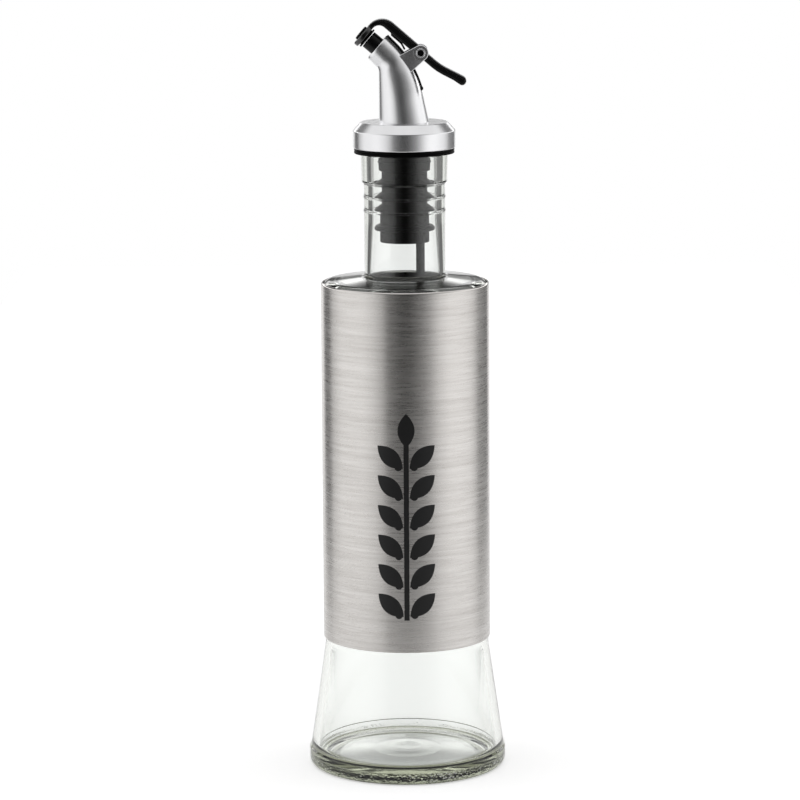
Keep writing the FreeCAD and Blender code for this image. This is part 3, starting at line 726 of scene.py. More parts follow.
@dataclass
class GlassBottle:
    """The glass: a flared foot with a thick heel, a straight body and a neck with two beads."""

    punt: tuple[Corner, ...] = (
        Corner(0.0, 2.0), Corner(12.4, 2.0, 300.0), Corner(24.8, 1.21, 8.0),
        Corner(31.0, 0.0, 0.8),
    )
    base_radius: float = 36.6
    base_round: float = 2.6
    heel_height: float = 6.5
    heel_step: float = 0.5
    body_radius: float = 30.4
    flare_top: float = 46.4
    flare_round: float = 18.0
    shoulder: float = 182.4
    shoulder_round: float = 3.0
    neck_radius: float = 14.9
    neck_foot: float = 184.1
    neck_round: float = 1.3
    bead_heights: tuple[float, ...] = (208.3, 213.3)
    bead_proud: float = 0.35
    bead_half: float = 0.5
    bead_root: float = 0.2
    bead_round: float = 0.6
    finish_radius: float = 16.0
    finish_foot: float = 218.0
    finish_step: float = 0.9
    finish_draft: float = 0.35
    finish_round: float = 0.25
    rim: float = 229.3
    rim_round: float = 0.6
    bore: float = 11.9
    throat: tuple[Corner, ...] = (Corner(11.9, 204.1, 30.0), Corner(13.1, 181.2, 2.2))
    hollow: float = 27.6
    ceiling: float = 179.5
    ceiling_round: float = 4.0
    floor: tuple[Corner, ...] = (
        Corner(33.5, 5.0, 3.0), Corner(18.4, 5.6, 12.0), Corner(9.0, 5.95, 200.0),
        Corner(0.0, 5.95),
    )

    def outside(self) -> Iterator[Corner]:
        """Give the outside's corners from the axis up to the rim.

        Yields:
            Each corner in order.
        """
        yield from self.punt
        yield Corner(self.base_radius, 0.0, self.base_round)
        yield Corner(self.base_radius, self.heel_height, 0.4)
        yield Corner(self.base_radius - self.heel_step, self.heel_height + self.heel_step, 0.2)
        yield Corner(self.body_radius, self.flare_top, self.flare_round)
        yield Corner(self.body_radius, self.shoulder, self.shoulder_round)
        yield Corner(self.neck_radius, self.neck_foot, self.neck_round)
        for height in self.bead_heights:
            yield Corner(self.neck_radius, height - self.bead_half, self.bead_root)
            yield Corner(self.neck_radius + self.bead_proud, height, self.bead_round)
            yield Corner(self.neck_radius, height + self.bead_half, self.bead_root)
        yield Corner(self.neck_radius, self.finish_foot, self.finish_round)
        yield Corner(
            self.finish_radius - self.finish_draft, self.finish_foot + self.finish_step,
            self.finish_round,
        )
        yield Corner(self.finish_radius, self.rim, self.rim_round)

    def inside(self) -> Iterator[Corner]:
        """Give the inside's corners from the rim down to the axis.

        Yields:
            Each corner in order.
        """
        yield Corner(self.bore + self.rim_round, self.rim)
        yield Corner(self.bore, self.rim - self.rim_round)
        yield from self.throat
        yield Corner(self.hollow, self.ceiling, self.ceiling_round)
        yield Corner(self.hollow, self.flare_top, self.flare_round)
        yield from self.floor

    def build(self) -> None:
        """Blow the bottle as one closed shell."""
        bm = turned([*self.outside(), *self.inside()], closed=False)
        glass = PressedGlass().material()
        place(bm, "bottle_glass", Body.BOTTLE, glass, "glass_bottle")


@dataclass
class SteelSleeve:
    """The sheet-steel tube round the glass, its top edge rolled in over the shoulder."""

    radius: float = 31.0
    inner_radius: float = 30.5
    foot: float = 48.8
    foot_round: float = 0.12
    top: float = 181.8
    lip_radius: float = 30.2
    lip_thickness: float = 0.5
    lip_round: float = 0.72
    lip_edge: float = 0.1

    def build(self) -> None:
        """Roll the sleeve."""
        bm = turned([
            Corner(self.inner_radius, self.foot),
            Corner(self.radius, self.foot, self.foot_round),
            Corner(self.radius, self.top, self.lip_round),
            Corner(self.lip_radius, self.top, self.lip_edge),
            Corner(self.lip_radius, self.top - self.lip_thickness),
            Corner(self.inner_radius, self.top - self.lip_thickness),
        ], closed=True)
        steel = BrushedSteel(self.radius).material()
        place(bm, "sleeve_sheet", Body.BOTTLE, steel, "steel_sleeve")


# ---- the stopper --------------------------------------------------------------------------


@dataclass
class Gasket:
    """The rubber washer on the rim: two lips with a groove between them."""

    rubber: bpy.types.Material
    bore: float = 9.55
    radius: float = 18.4
    foot: float = 229.3
    top: float = 231.2
    lip_share: float = 0.42
    groove: float = 0.4
    rounding: float = 0.3

    def build(self) -> None:
        """Mould the washer."""
        lip = self.lip_share * (self.top - self.foot)
        bm = turned([
            Corner(self.bore, self.foot),
            Corner(self.radius, self.foot, self.rounding),
            Corner(self.radius, self.foot + lip, self.rounding),
            Corner(self.radius - self.groove, (self.foot + self.top) / 2),
            Corner(self.radius, self.top - lip, self.rounding),
            Corner(self.radius, self.top, self.rounding),
            Corner(self.bore, self.top),
        ], closed=True)
        place(bm, "rim_washer", Body.BOTTLE, self.rubber, "gasket_ring")


@dataclass
class StopperPlug:
    """The rubber plug: a collar, a waist with drooping fins, a thick ring and a foot."""

    rubber: bpy.types.Material
    top: float = 231.2
    collar_radius: float = 9.5
    collar_foot: float = 223.4
    collar_draft: float = 0.15
    bead_height: float = 226.6
    bead_half: float = 0.5
    bead_proud: float = 0.35
    waist_radius: float = 8.35
    waist_step: float = 0.4
    fin_radius: float = 11.05
    fin_heights: tuple[float, ...] = (218.1, 213.0, 208.6)
    fin_droop: float = 1.5
    fin_root: float = 1.5
    fin_tip: float = 0.7
    fin_round: float = 0.28
    ring_height: float = 202.2
    ring_thickness: float = 1.9
    ring_fill: float = 0.95
    ring_root: float = 0.15
    foot_radius: float = 9.0
    foot_drop: float = 1.0
    foot: float = 196.9
    foot_round: float = 0.5
    hollow_radius: float = 2.6
    hollow_depth: float = 12.0
    soft: float = 0.3
    crisp: float = 0.2

    def corners(self) -> Iterator[Corner]:
        """Give the plug's outline from the top of its axis round to the top of its hollow.

        Yields:
            Each corner in order.
        """
        yield Corner(0.0, self.top)
        yield Corner(self.collar_radius, self.top)
        yield Corner(self.collar_radius, self.bead_height + self.bead_half)
        yield Corner(self.collar_radius + self.bead_proud, self.bead_height, self.soft)
        yield Corner(self.collar_radius, self.bead_height - self.bead_half)
        yield Corner(self.collar_radius - self.collar_draft, self.collar_foot, self.soft)
        yield Corner(self.waist_radius, self.collar_foot - self.waist_step, self.crisp)
        for height in self.fin_heights:
            root = height + self.fin_droop
            yield Corner(self.waist_radius, root + self.fin_root / 2, self.soft)
            yield Corner(self.fin_radius, height + self.fin_tip / 2, self.fin_round)
            yield Corner(self.fin_radius, height - self.fin_tip / 2, self.fin_round)
            yield Corner(self.waist_radius, root - self.fin_root / 2, self.crisp)
        last = self.fin_heights[-1]
        yield Corner(self.waist_radius, last, self.soft)
        yield Corner(self.foot_radius, last - self.foot_drop, self.soft)
        half = self.ring_thickness / 2
        yield Corner(self.foot_radius, self.ring_height + half, self.ring_root)
        yield Corner(self.fin_radius, self.ring_height + half, half * self.ring_fill)
        yield Corner(self.fin_radius, self.ring_height - half, half * self.ring_fill)
        yield Corner(self.foot_radius, self.ring_height - half, self.ring_root)
        yield Corner(self.foot_radius, self.foot, self.foot_round)
        yield Corner(self.hollow_radius, self.foot, self.crisp)
        yield Corner(self.hollow_radius, self.foot + self.hollow_depth)
        yield Corner(0.0, self.foot + self.hollow_depth)

    def build(self) -> None:
        """Mould the plug."""
        bm = turned([*self.corners()], closed=False, steps=128)
        place(bm, "finned_plug", Body.BOTTLE, self.rubber, "stopper_plug")


@dataclass
class AirTube:
    """The thin tube that lets air into the bottle while it pours."""

    offset: float = 5.7
    radius: float = 1.6
    wall: float = 0.5
    foot: float = 184.9
    top: float = 234.2
    cut: float = 0.08

    def build(self) -> None:
        """Extrude the tube and cut it square."""
        rounds = (self.cut, self.cut, 0.0, 0.0)
        bm = pipe(self.radius - self.wall, self.radius, (self.foot, self.top), rounds, 48)
        bmesh.ops.translate(bm, verts=bm.verts[:], vec=(self.offset * MM, 0, 0))
        place(bm, "air_tube", Body.BOTTLE, TUBE_SKIN.material(), "vent_tube")


# ---- the pourer ---------------------------------------------------------------------------


def heading(degrees: float) -> Vector:
    """Give the unit direction at an angle from +X towards +Z."""
    return Vector((math.cos(math.radians(degrees)), 0.0, math.sin(math.radians(degrees))))


def crossing(first: Vector, first_way: Vector, second: Vector, second_way: Vector) -> Vector:
    """Find where two lines in the XZ plane meet.

    Args:
        first: A point on the first line.
        first_way: The first line's direction.
        second: A point on the second line.
        second_way: The second line's direction.

    Returns:
        The meeting point.
    """
    gap = second - first
    turn = first_way.x * second_way.z - first_way.z * second_way.x
    return first + first_way * ((gap.x * second_way.z - gap.z * second_way.x) / turn)


@dataclass
class Pourer:
    """The plated casting: a disc with a bevelled top, a bent spout that tapers, and two ears."""

    disc_radius: float = 18.8
    disc_foot: float = 231.2
    disc_side: float = 6.4
    bevel_width: float = 2.85
    disc_top: float = 240.7
    edge_round: float = 0.5
    spout_radius: float = 9.15
    front_height: float = 19.4
    front_round: float = 2.6
    front_length: float = 5.7
    back_lean: float = 12.3
    back_round: float = 38.0
    tilt: float = 45.0
    mouth_tilt: float = 4.5
    mouth_radius: float = 5.37
    mouth_round: float = 0.35
    nozzle_radius: float = 3.42
    seat_depth: float = 6.0
    bend_share: float = 0.37
    rise_steps: int = 12
    bend_steps: int = 8
    run_steps: int = 4
    pin: tuple[float, float] = (6.147, 265.937)
    ear_round: float = 2.9
    ear_thickness: float = 1.2
    ear_span: float = 8.0
    ear_top_reach: float = 8.6
    ear_low_reach: float = 16.2
    ear_root: float = 3.2
    ear_edge: float = 0.32
    end_proud: float = 0.02
    rim_inner: float = 1.22
    rim_outer: float = 1.72
    rim_sink: float = 0.1
    rim_proud: float = 0.22
    rim_round: float = 0.2

    def __post_init__(self) -> None:
        """Work out the lines that the spout's front and back follow."""
        self.way = heading(90 + self.tilt)
        self.mouth_way = heading(90 + self.tilt + self.mouth_tilt)
        self.mouth_across = heading(self.tilt + self.mouth_tilt)
        self.pin_spot = Vector((self.pin[0], 0, self.pin[1]))
        self.front_foot = Vector((-self.spout_radius, 0, self.disc_top))
        self.back_foot = Vector((self.spout_radius, 0, self.disc_top))
        self.front_corner = self.front_foot + Z_AXIS * self.front_height
        self.mouth_front = self.front_corner + self.way * self.front_length
        self.mouth_back = self.mouth_front + self.mouth_across * (2 * self.mouth_radius)
        self.mouth_centre = (self.mouth_front + self.mouth_back) / 2
        self.back_corner = crossing(
            self.back_foot, heading(90 + self.back_lean), self.mouth_back, self.way)
        self.back_bend = math.radians(self.tilt - self.back_lean)
        self.back_reach = self.back_round * math.tan(self.back_bend / 2)

    def back_point(self, travel: float) -> tuple[Vector, Vector]:
        """Find a point on the spout's back.

        Args:
            travel: Distance down the back from the mouth.

        Returns:
            The point, and the direction straight out of the back there.
        """
        upper = (self.mouth_back - self.back_corner).length - self.back_reach
        if travel <= upper:
            return self.mouth_back - self.way * travel, heading(self.tilt)
        centre = self.mouth_back - self.way * upper - heading(self.tilt) * self.back_round
        sweep = (travel - upper) / self.back_round
        if sweep <= self.back_bend:
            out = heading(self.tilt - math.degrees(sweep))
            return centre + out * self.back_round, out
        rest = travel - upper - self.back_bend * self.back_round
        foot = centre + heading(self.back_lean) * self.back_round
        return foot - heading(90 + self.back_lean) * rest, heading(self.back_lean)

    def back_length(self) -> float:
        """Give the back's length from the mouth to the disc.

        Returns:
            The length in millimetres.
        """
        upper, lower = self.mouth_back - self.back_corner, self.back_corner - self.back_foot
        bend = self.back_bend * self.back_round
        return upper.length + lower.length - 2 * self.back_reach + bend

    def front_point(self, turn_share: float) -> Vector:
        """Find a point on the small bend of the spout's front.

        Args:
            turn_share: Zero where the bend starts and one where it ends.

        Returns:
            The point.
        """
        reach = self.front_round * math.tan(math.radians(self.tilt) / 2)
        centre = self.front_corner - Z_AXIS * reach - Vector((self.front_round, 0, 0))
        return centre + heading(self.tilt * turn_share) * self.front_round

    def sections(self) -> Iterator[tuple[Vector, Vector]]:
        """Give front and back points of the spout's round sections, from disc to mouth.

        Yields:
            A section's front point and its back point.
        """
        total = self.back_length()
        bend = total * self.bend_share
        start, end = self.front_point(0.0), self.front_point(1.0)
        run = (self.mouth_front - end).length
        for step in range(self.rise_steps):
            share = step / self.rise_steps
            back, _ = self.back_point(total + (bend - total) * share)
            yield self.front_foot.lerp(start, share), back
        for step in range(self.bend_steps + 1):
            share = step / self.bend_steps
            yield self.front_point(share), self.back_point(bend + (run - bend) * share)[0]
        for step in range(1, self.run_steps + 1):
            share = step / self.run_steps
            yield end.lerp(self.mouth_front, share), self.back_point(run * (1 - share))[0]

    def disc(self) -> bmesh.types.BMesh:
        """Turn the disc.

        Returns:
            The disc's mesh.
        """
        return turned([
            Corner(0.0, self.disc_foot),
            Corner(self.disc_radius, self.disc_foot, self.edge_round),
            Corner(self.disc_radius, self.disc_foot + self.disc_side, self.edge_round),
            Corner(self.disc_radius - self.bevel_width, self.disc_top, self.edge_round),
            Corner(0.0, self.disc_top),
        ], closed=False)

    def tube(self, bm: bmesh.types.BMesh) -> None:
        """Loft the spout through its round sections and sink the nozzle's seat in its mouth.

        Args:
            bm: The mesh that takes the spout.
        """
        last: list[bmesh.types.BMEdge] = []
        first: list[bmesh.types.BMEdge] = []
        for front, back in self.sections():
            across = back - front
            turn = Matrix.Rotation(-math.atan2(across.z, across.x), 4, "Y")
            shift = Matrix.Translation((front + back) / 2 * MM)
            ring = bmesh.ops.create_circle(
                bm, cap_ends=False, segments=96, radius=across.length / 2 * MM,
                matrix=shift @ turn,
            )
            edges = list({edge for vert in ring["verts"] for edge in vert.link_edges})
            if last:
                bmesh.ops.bridge_loops(bm, edges=last + edges)
            else:
                first = edges
            last = edges
        bmesh.ops.edgeloop_fill(bm, edges=first)
        lid = bmesh.ops.edgeloop_fill(bm, edges=last)["faces"]
        rim = [edge for edge in last if edge.is_valid]
        wall = (self.mouth_radius - self.nozzle_radius) * MM
        bmesh.ops.inset_region(bm, faces=lid, thickness=wall)
        floor = bmesh.ops.extrude_discrete_faces(bm, faces=lid)["faces"]
        sink = self.mouth_way * (-self.seat_depth * MM)
        bmesh.ops.translate(bm, verts=floor[0].verts[:], vec=sink)
        bmesh.ops.bevel(
            bm, geom=rim, offset=self.mouth_round * MM, offset_type="OFFSET", segments=3,
            profile=0.5, affect="EDGES", material=-1,
        )

    def ear(self, side: int) -> list[bmesh.types.BMesh]:
        """Raise one hinge ear.

        Args:
            side: Plus or minus one for its side of the spout.

        Returns:
            Its web, its round end, and the pressed rim round the pin.
        """
        top, top_out = self.back_point(self.ear_top_reach)
        low, low_out = self.back_point(self.ear_low_reach)
        corners = [
            top - top_out * self.ear_root, top - top_out, self.touch(top - top_out, 1),
            self.touch(low - low_out, -1), low - low_out, low - low_out * self.ear_root,
        ]
        web = slab([(corner, 0.0) for corner in corners], self.ear_thickness, self.ear_edge)
        middle = side * (self.ear_span - self.ear_thickness) / 2
        bmesh.ops.translate(web, verts=web.verts[:], vec=(0, middle * MM, 0))
        half = self.ear_thickness / 2 + self.end_proud
        end = drum(self.ear_round, half, self.ear_edge, self.ear_edge, 64)
        aim(end, Y_AXIS, self.pin_spot + Y_AXIS * middle)
        rounds = (0.0, 0.0, self.rim_round, self.rim_round)
        ends = (-self.rim_sink, self.rim_proud)
        rim = pipe(self.rim_inner, self.rim_outer, ends, rounds, 48)
        aim(rim, Y_AXIS * side, self.pin_spot + Y_AXIS * (side * self.ear_span / 2))
        return [web, end, rim]

    def touch(self, start: Vector, side: int) -> Vector:
        """Find where an ear's edge runs into its round end.

        Args:
            start: Where the edge leaves the spout.
            side: Plus one for the upper edge and minus one for the lower.

        Returns:
            The point of touch.
        """
        gap = self.pin_spot - start
        swing = math.asin(self.ear_round / gap.length)
        reach = math.sqrt(gap.length ** 2 - self.ear_round ** 2)
        return start + heading(math.degrees(math.atan2(gap.z, gap.x) + side * swing)) * reach

    def build(self) -> None:
        """Cast disc, spout and ears as one piece."""
        bm = self.disc()
        self.tube(bm)
        bmesh.ops.recalc_face_normals(bm, faces=bm.faces[:])
        absorb(bm, [*self.ear(-1), *self.ear(1)])
        plate = SATIN_PLATE.material()
        place(bm, "pourer_casting", Body.BOTTLE, plate, "spout_body")


# ---- lever, cap, nozzle and pin -----------------------------------------------------------


@dataclass
class FlipLever:
    """The thumb lever: an end ring, a hook, a bar that turns on the pin, and a tail."""

    pourer: Pourer
    skin: bpy.types.Material
    width: float = 5.0
    thickness: float = 3.3
    angle: float = 41.0
    hub_radius: float = 2.35
    hub_round: float = 0.2
    outer_round: float = 6.2
    inner_round: float = 2.9
    ring_radius: float = 4.6
    ring_thickness: float = 1.8
    ring_rounds: tuple[float, float] = (0.35, 0.55)
    ring_distance: float = 6.35
    overlap: float = 0.9
    groove_inset: float = 0.65
    groove_depth: float = 0.35
    edge: float = 0.45
    tail_thickness: float = 2.85
    tail_step: float = 0.05
    bend_reach: float = 8.6
    bend_round: float = 18.2
    end_reach: float = 9.6
    end_angle: float = 27.0
    tip_radius: float = 1.72
    tip_run: float = 1.6
    tip_fill: float = 0.98
    tip_drop: float = 0.35
    rib_drop: float = 0.7
    rib_width: float = 2.0
    rib_start: float = 12.9
    rib_end: float = 7.6
    rib_sink: float = 0.3
    rib_round: float = 0.3
    rib_edge: float = 0.15
    finger_thickness: float = 0.7
    finger_reach: float = 8.2
    finger_clear: float = 0.85
    finger_round: float = 0.2
    finger_edge: float = 0.12

    def __post_init__(self) -> None:
        """Work out the bar's line and the ring's place."""
        self.pin = self.pourer.pin_spot
        self.bar_way = heading(180 - self.angle)
        self.bar_up = heading(90 - self.angle)
        self.ring_centre = (
            self.pourer.mouth_centre + self.pourer.mouth_way * self.ring_distance)

    def side(self) -> list[tuple[Vector, float]]:
        """Give the lever's outline, from the ring over the bar to the tail and back.

        Returns:
            Each corner in order, with its rounding.
        """
        across = self.pourer.mouth_across
        ring = self.pourer.mouth_way * (self.ring_thickness / 2)
        half = self.bar_up * (self.thickness / 2)
        thin = self.bar_up * (self.tail_thickness / 2)
        hub = self.bar_way * self.hub_radius
        outer, inner = self.ring_centre + ring, self.ring_centre - ring
        start = across * (self.ring_radius - self.overlap)
        upper, lower = self.pin + half, self.pin - half
        end_way, end_up = heading(-self.end_angle), heading(90 - self.end_angle)
        end = self.pin - self.bar_way * self.bend_reach + end_way * self.end_reach
        end_thin = end_up * (self.tail_thickness / 2)
        tip = end - end_up * self.tip_drop + end_way * self.tip_radius
        thick = end_up * self.tip_radius
        tip_round = self.tip_radius * self.tip_fill
        neck = end - end_way * (self.tip_run * self.tip_radius)
        upper_bend = crossing(self.pin + thin, self.bar_way, end + end_thin, end_way)
        lower_bend = crossing(self.pin - thin, self.bar_way, end - end_thin, end_way)
        return [
            (inner + start, 0.0),
            (outer + start, 0.0),
            (crossing(outer, across, upper, self.bar_way), self.outer_round),
            (upper + hub, 0.0),
            (self.pin + thin - hub, 0.0),
            (upper_bend, self.bend_round),
            (neck + end_thin, 0.0),
            (tip + thick, tip_round),
            (tip - thick, tip_round),
            (neck - end_thin - end_up * self.tail_step, 0.0),
            (lower_bend, self.bend_round),
            (self.pin - thin - hub, 0.0),
            (lower + hub, 0.0),
            (crossing(inner, across, lower, self.bar_way), self.inner_round),
        ]

    def stop(self) -> list[bmesh.types.BMesh]:
        """Mould the rib under the bar and the finger that reaches down from it.

        Returns:
            The rib's mesh and the finger's mesh.
        """
        under = self.pin - self.bar_up * (self.thickness / 2)
        start = under + self.bar_way * self.rib_start
        end = under + self.bar_way * self.rib_end
        sink, drop = self.bar_up * self.rib_sink, self.bar_up * self.rib_drop
        low = end - drop
        rib = [
            (start + sink, 0.0),
            (start, 0.0),
            (start - drop - self.bar_way * self.rib_drop, self.rib_round),
            (low, 0.0),
            (end + sink, 0.0),
        ]
        foot, out = self.pourer.back_point(self.finger_reach)
        tip = foot + out * self.finger_clear
        way = (tip - low).normalized()
        thick = Vector((-way.z, 0, way.x)) * self.finger_thickness
        root = low - way * self.rib_sink
        finger = [
            (root + thick, 0.0), (tip + thick, self.finger_round), (tip, self.finger_round),
            (root, 0.0),
        ]
        return [
            slab(rib, self.rib_width, self.rib_edge),
            slab(finger, self.rib_width, self.finger_edge),
        ]

    def build(self) -> None:
        """Mould the lever."""
        bm = slab(self.side(), self.width, self.edge, self.groove_inset, self.groove_depth)
        hub = drum(self.hub_radius, self.width / 2, self.hub_round, self.hub_round, 48)
        aim(hub, Y_AXIS, self.pin)
        ring = drum(self.ring_radius, self.ring_thickness / 2, *self.ring_rounds, 72)
        aim(ring, self.pourer.mouth_way, self.ring_centre)
        absorb(bm, [hub, ring, *self.stop()])
        place(bm, "flip_lever_moulding", Body.FLIP, self.skin, "lever")


@dataclass
class NozzleAndCap:
    """The pouring tip in the spout's mouth, and the rubber cap that the lever holds over it."""

    pourer: Pourer
    plastic: bpy.types.Material
    rubber: bpy.types.Material
    tip_radius: float = 3.4
    tip_rounds: tuple[float, ...] = (0.0, 0.0, 0.35, 0.25)
    bore: float = 2.1
    seat: float = 7.0
    proud: float = 4.05
    flange_radius: float = 3.96
    flange_at: float = 4.4
    flange_thickness: float = 0.6
    neck_radius: float = 3.2
    rounding: float = 0.2
    ring_low: float = 5.45
    ring_high: float = 7.25
    button_radius: float = 2.82
    button_thickness: float = 0.75
    button_rounds: tuple[float, float] = (0.15, 0.4)
    stem_radius: float = 2.2

    def tip(self) -> None:
        """Mould the pouring tip."""
        ends = (-self.seat, self.proud)
        bm = pipe(self.bore, self.tip_radius, ends, self.tip_rounds, 72)
        aim(bm, self.pourer.mouth_way, self.pourer.mouth_centre)
        place(bm, "pouring_tip", Body.BOTTLE, self.plastic, "nozzle_tip")

    def cap(self) -> None:
        """Mould the cap: a flange and a neck below the lever's ring, and a button above it."""
        top = self.flange_at + self.flange_thickness
        button_top = self.ring_high + self.button_thickness
        low_round, high_round = self.button_rounds
        bm = turned([
            Corner(0, self.flange_at),
            Corner(self.flange_radius, self.flange_at, self.rounding),
            Corner(self.flange_radius, top, self.rounding),
            Corner(self.neck_radius, top, self.rounding),
            Corner(self.neck_radius, self.ring_low),
            Corner(self.stem_radius, self.ring_low),
            Corner(self.stem_radius, self.ring_high),
            Corner(self.button_radius, self.ring_high, low_round),
            Corner(self.button_radius, button_top, high_round),
            Corner(0, button_top),
        ], closed=False, steps=72)
        aim(bm, self.pourer.mouth_way, self.pourer.mouth_centre)
        place(bm, "rubber_cap", Body.FLIP, self.rubber, "spout_cap")


@dataclass
class HingePin:
    """The pin through both ears, the edges of its flat ends just broken."""

    pourer: Pourer
    plastic: bpy.types.Material
    radius: float = 1.2
    length: float = 8.2
    edge: float = 0.15

    def build(self) -> None:
        """Turn the pin."""
        bm = drum(self.radius, self.length / 2, self.edge, self.edge, 48)
        aim(bm, Y_AXIS, self.pourer.pin_spot)
        place(bm, "pivot_pin", Body.BOTTLE, self.plastic, "hinge_pin")


# ---- carried-over nodes -------------------------------------------------------------------


def dress(node: bpy.types.Object, material: bpy.types.Material) -> None:
    """Give a carried-over node its finish.

    Args:
        node: The frame's object.
        material: What fills its slots.
    """
    for holder in node.material_slots:
        holder.material = material
    LOG.info("node %s: %s", node.name, material.name)


# ---- studio -------------------------------------------------------------------------------


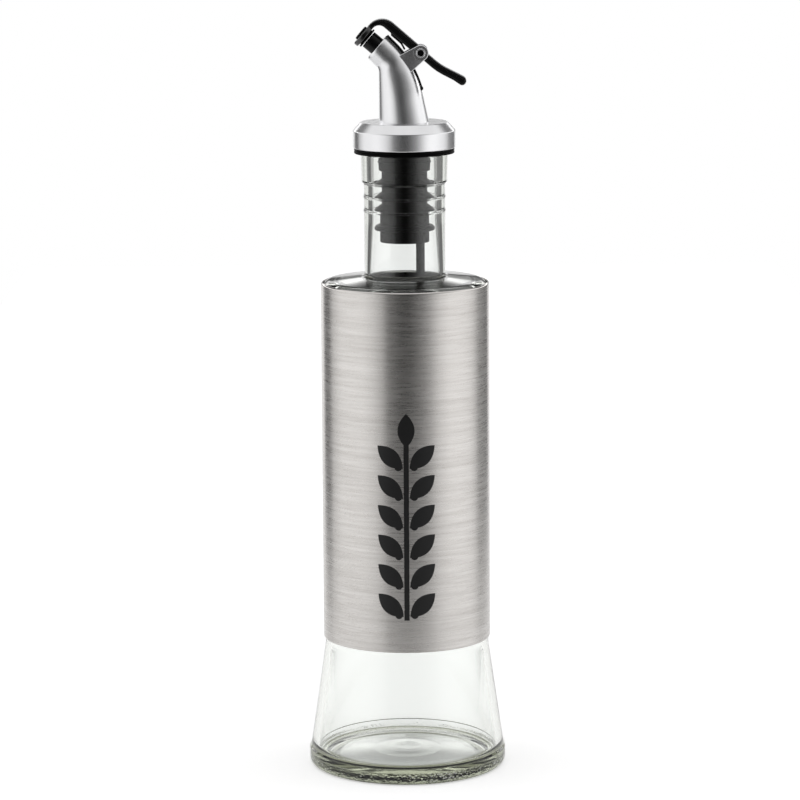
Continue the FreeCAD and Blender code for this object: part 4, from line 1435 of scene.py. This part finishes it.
@dataclass(frozen=True)
class Studio:
    """A white table in a white surround that is dark towards the camera and behind it.

    The surround goes by compass degrees, with zero towards the camera. Its back also goes by
    height, so that the metal takes on dark bands.
    """

    surround: tuple[tuple[float, float], ...] = (
        (-180, 1.0), (-153, 1.0), (-147, 0.30), (-142, 0.10), (-128, 0.08), (-119, 0.60),
        (-100, 0.95), (-60, 1.05), (-45, 0.90), (-32, 0.60), (-24, 0.18), (-5, 0.03),
        (6, 0.04), (17, 0.14), (28, 0.30), (38, 0.60), (48, 0.95), (62, 1.15), (80, 1.08),
        (100, 0.90), (112, 0.60), (120, 0.22), (134, 0.18), (144, 0.15), (152, 0.15),
        (157, 1.0), (180, 1.0),
    )
    back: tuple[tuple[float, float], ...] = (
        (0.08, 1.0), (0.13, 2.0), (0.24, 2.0), (0.31, 0.15), (0.62, 0.12), (0.72, 1.0),
    )
    back_range: tuple[float, float] = (0.35, 0.60)
    front_through: float = 0.8
    overhead: float = 0.85
    overhead_range: tuple[float, float] = (0.42, 0.87)
    widening: float = 1.8
    widest: float = 0.55
    table_front: float = -0.22
    table_back: float = 1.4
    table_half: float = 0.28
    table_colour: str = "ececec"
    table_lift: float = 0.50
    table_mirrored: float = 0.5
    lens: float = 166.1
    sensor: float = 36.0
    sight_end: float = 50.0
    eye: tuple[float, float, float] = (-0.0021, -1.3466, 0.3681)
    pitch: float = 0.1696
    roll: float = -0.0060

    def world(self) -> None:
        """Paint the surround, plain white where the camera looks straight at it."""
        world = bpy.data.worlds.new("soft_surround")
        bpy.context.scene.world = world
        world.use_nodes = True
        graph = Graph(world.node_tree)
        axes = graph.add("SeparateXYZ", {0: graph.add("TexCoord").outputs["Generated"]})
        x, y, z = (axes.outputs[name] for name in "XYZ")
        toward = graph.add("Math", {0: y, 1: -1.0}, operation="MULTIPLY")
        angle = graph.add("Math", {0: x, 1: toward}, operation="ARCTAN2")
        rise = graph.add("Math", {0: z, 1: 0.0}, operation="MAXIMUM")
        narrow = graph.add("Math", {0: rise, 1: -self.widening, 2: 1.0}, operation="MULTIPLY_ADD")
        kept = graph.add("Math", {0: narrow, 1: self.widest}, operation="MAXIMUM")
        opened = graph.add("Math", {0: angle, 1: kept}, operation="MULTIPLY")
        share = graph.add("MapRange", {
            "Value": opened, "From Min": -math.pi, "From Max": math.pi,
        })
        ramp = graph.add("ValToRGB", {"Fac": share})
        turns = [((degrees + 180) / 360, level) for degrees, level in self.surround]
        set_greys(ramp.color_ramp, turns)
        lift = graph.add("MapRange", {
            "Value": z, "From Min": self.overhead_range[0], "From Max": self.overhead_range[1],
        }, interpolation_type="SMOOTHSTEP")
        over = (self.overhead, self.overhead, self.overhead, 1.0)
        around = graph.add("Mix", {"Factor": lift, 6: ramp, 7: over}, data_type="RGBA")
        shade = graph.add("ValToRGB", {"Fac": z})
        set_greys(shade.color_ramp, self.back)
        near, far = self.back_range
        behind = graph.add("MapRange", {"Value": y, "From Min": near, "From Max": far})
        banded = graph.add("Mix", {
            "Factor": behind, 6: around.outputs[2], 7: shade,
        }, data_type="RGBA", blend_type="MULTIPLY")
        sight = graph.add("LightPath")
        ahead = graph.add("MapRange", {
            "Value": y, "From Min": -far, "From Max": -near, "To Min": self.front_through,
            "To Max": 0.0,
        })
        straight = graph.add("Math", {
            0: sight.outputs["Glossy Depth"], 1: 0.5,
        }, operation="LESS_THAN")
        clear = graph.add("Math", {
            0: straight, 1: sight.outputs["Is Transmission Ray"],
        }, operation="MULTIPLY")
        through = graph.add("Math", {0: ahead, 1: clear}, operation="MULTIPLY")
        lifted = graph.add("Mix", {
            "Factor": 1.0, 6: banded.outputs[2], 7: through,
        }, data_type="RGBA", blend_type="LIGHTEN")
        seen = graph.add("Mix", {
            "Factor": sight.outputs["Is Camera Ray"], 6: lifted.outputs[2], 7: WHITE,
        }, data_type="RGBA")
        glow = graph.add("Background", {"Color": seen.outputs[2], "Strength": 1.0})
        graph.add("OutputWorld", {"Surface": glow})

    def table(self) -> None:
        """Lay the table: white to the eye and through glass, and still holding the shadow."""
        material, graph = new_material("white_table")
        sight = graph.add("LightPath")
        mirrored = graph.add("Math", {
            0: sight.outputs["Is Glossy Ray"], 1: self.table_mirrored,
        }, operation="MULTIPLY")
        through = graph.add("Math", {
            0: sight.outputs["Is Transmission Ray"], 1: mirrored,
        }, operation="MAXIMUM")
        direct = graph.add("Math", {
            0: sight.outputs["Is Camera Ray"], 1: through,
        }, operation="MAXIMUM")
        lift = graph.add("Math", {0: direct, 1: self.table_lift}, operation="MULTIPLY")
        glow = graph.add("Emission", {"Strength": lift})
        matt = graph.add("BsdfDiffuse", {"Color": linear(self.table_colour)})
        graph.add("OutputMaterial", {"Surface": graph.add("AddShader", {0: matt, 1: glow})})
        bm = bmesh.new()
        bmesh.ops.create_grid(bm, x_segments=1, y_segments=1, size=1.0)
        half = (self.table_back - self.table_front) / 2
        bmesh.ops.scale(bm, verts=bm.verts[:], vec=(self.table_half, half, 1.0))
        bmesh.ops.translate(bm, verts=bm.verts[:], vec=(0, self.table_front + half, 0))
        mesh = bpy.data.meshes.new("table")
        bm.to_mesh(mesh)
        bm.free()
        mesh.materials.append(material)
        table = bpy.data.objects.new("table", mesh)
        bpy.context.scene.collection.objects.link(table)

    def camera(self) -> None:
        """Set the camera at a seated eye's height, with a long lens."""
        data = bpy.data.cameras.new("view")
        data.lens = self.lens
        data.sensor_width = self.sensor
        data.clip_end = self.sight_end
        camera = bpy.data.objects.new("view", data)
        lean = Matrix.Rotation(math.pi / 2 - self.pitch, 4, "X")
        turn = lean @ Matrix.Rotation(self.roll, 4, "Z")
        camera.matrix_world = Matrix.Translation(self.eye) @ turn
        bpy.context.scene.collection.objects.link(camera)
        bpy.context.scene.camera = camera

    def build(self) -> None:
        """Set up surround, table, camera and a plain view."""
        bpy.context.scene.view_settings.view_transform = "Standard"
        self.world()
        self.table()
        self.camera()


def main() -> None:
    """Dress the whole part in order."""
    logging.basicConfig(level=logging.INFO, format="%(name)s: %(message)s")
    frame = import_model()
    nodes = frame["nodes"]
    rubber = RUBBER.material()
    GlassBottle().build()
    SteelSleeve().build()
    Gasket(rubber).build()
    StopperPlug(rubber).build()
    AirTube().build()
    pourer = Pourer()
    pourer.build()
    plastic = PLASTIC.material()
    fittings = NozzleAndCap(pourer, plastic, rubber)
    fittings.tip()
    fittings.cap()
    HingePin(pourer, plastic).build()
    FlipLever(pourer, LEVER_SKIN.material()).build()
    dress(nodes["vent_strip"], plastic)
    Studio().build()


if __name__ == "__main__":
    main()
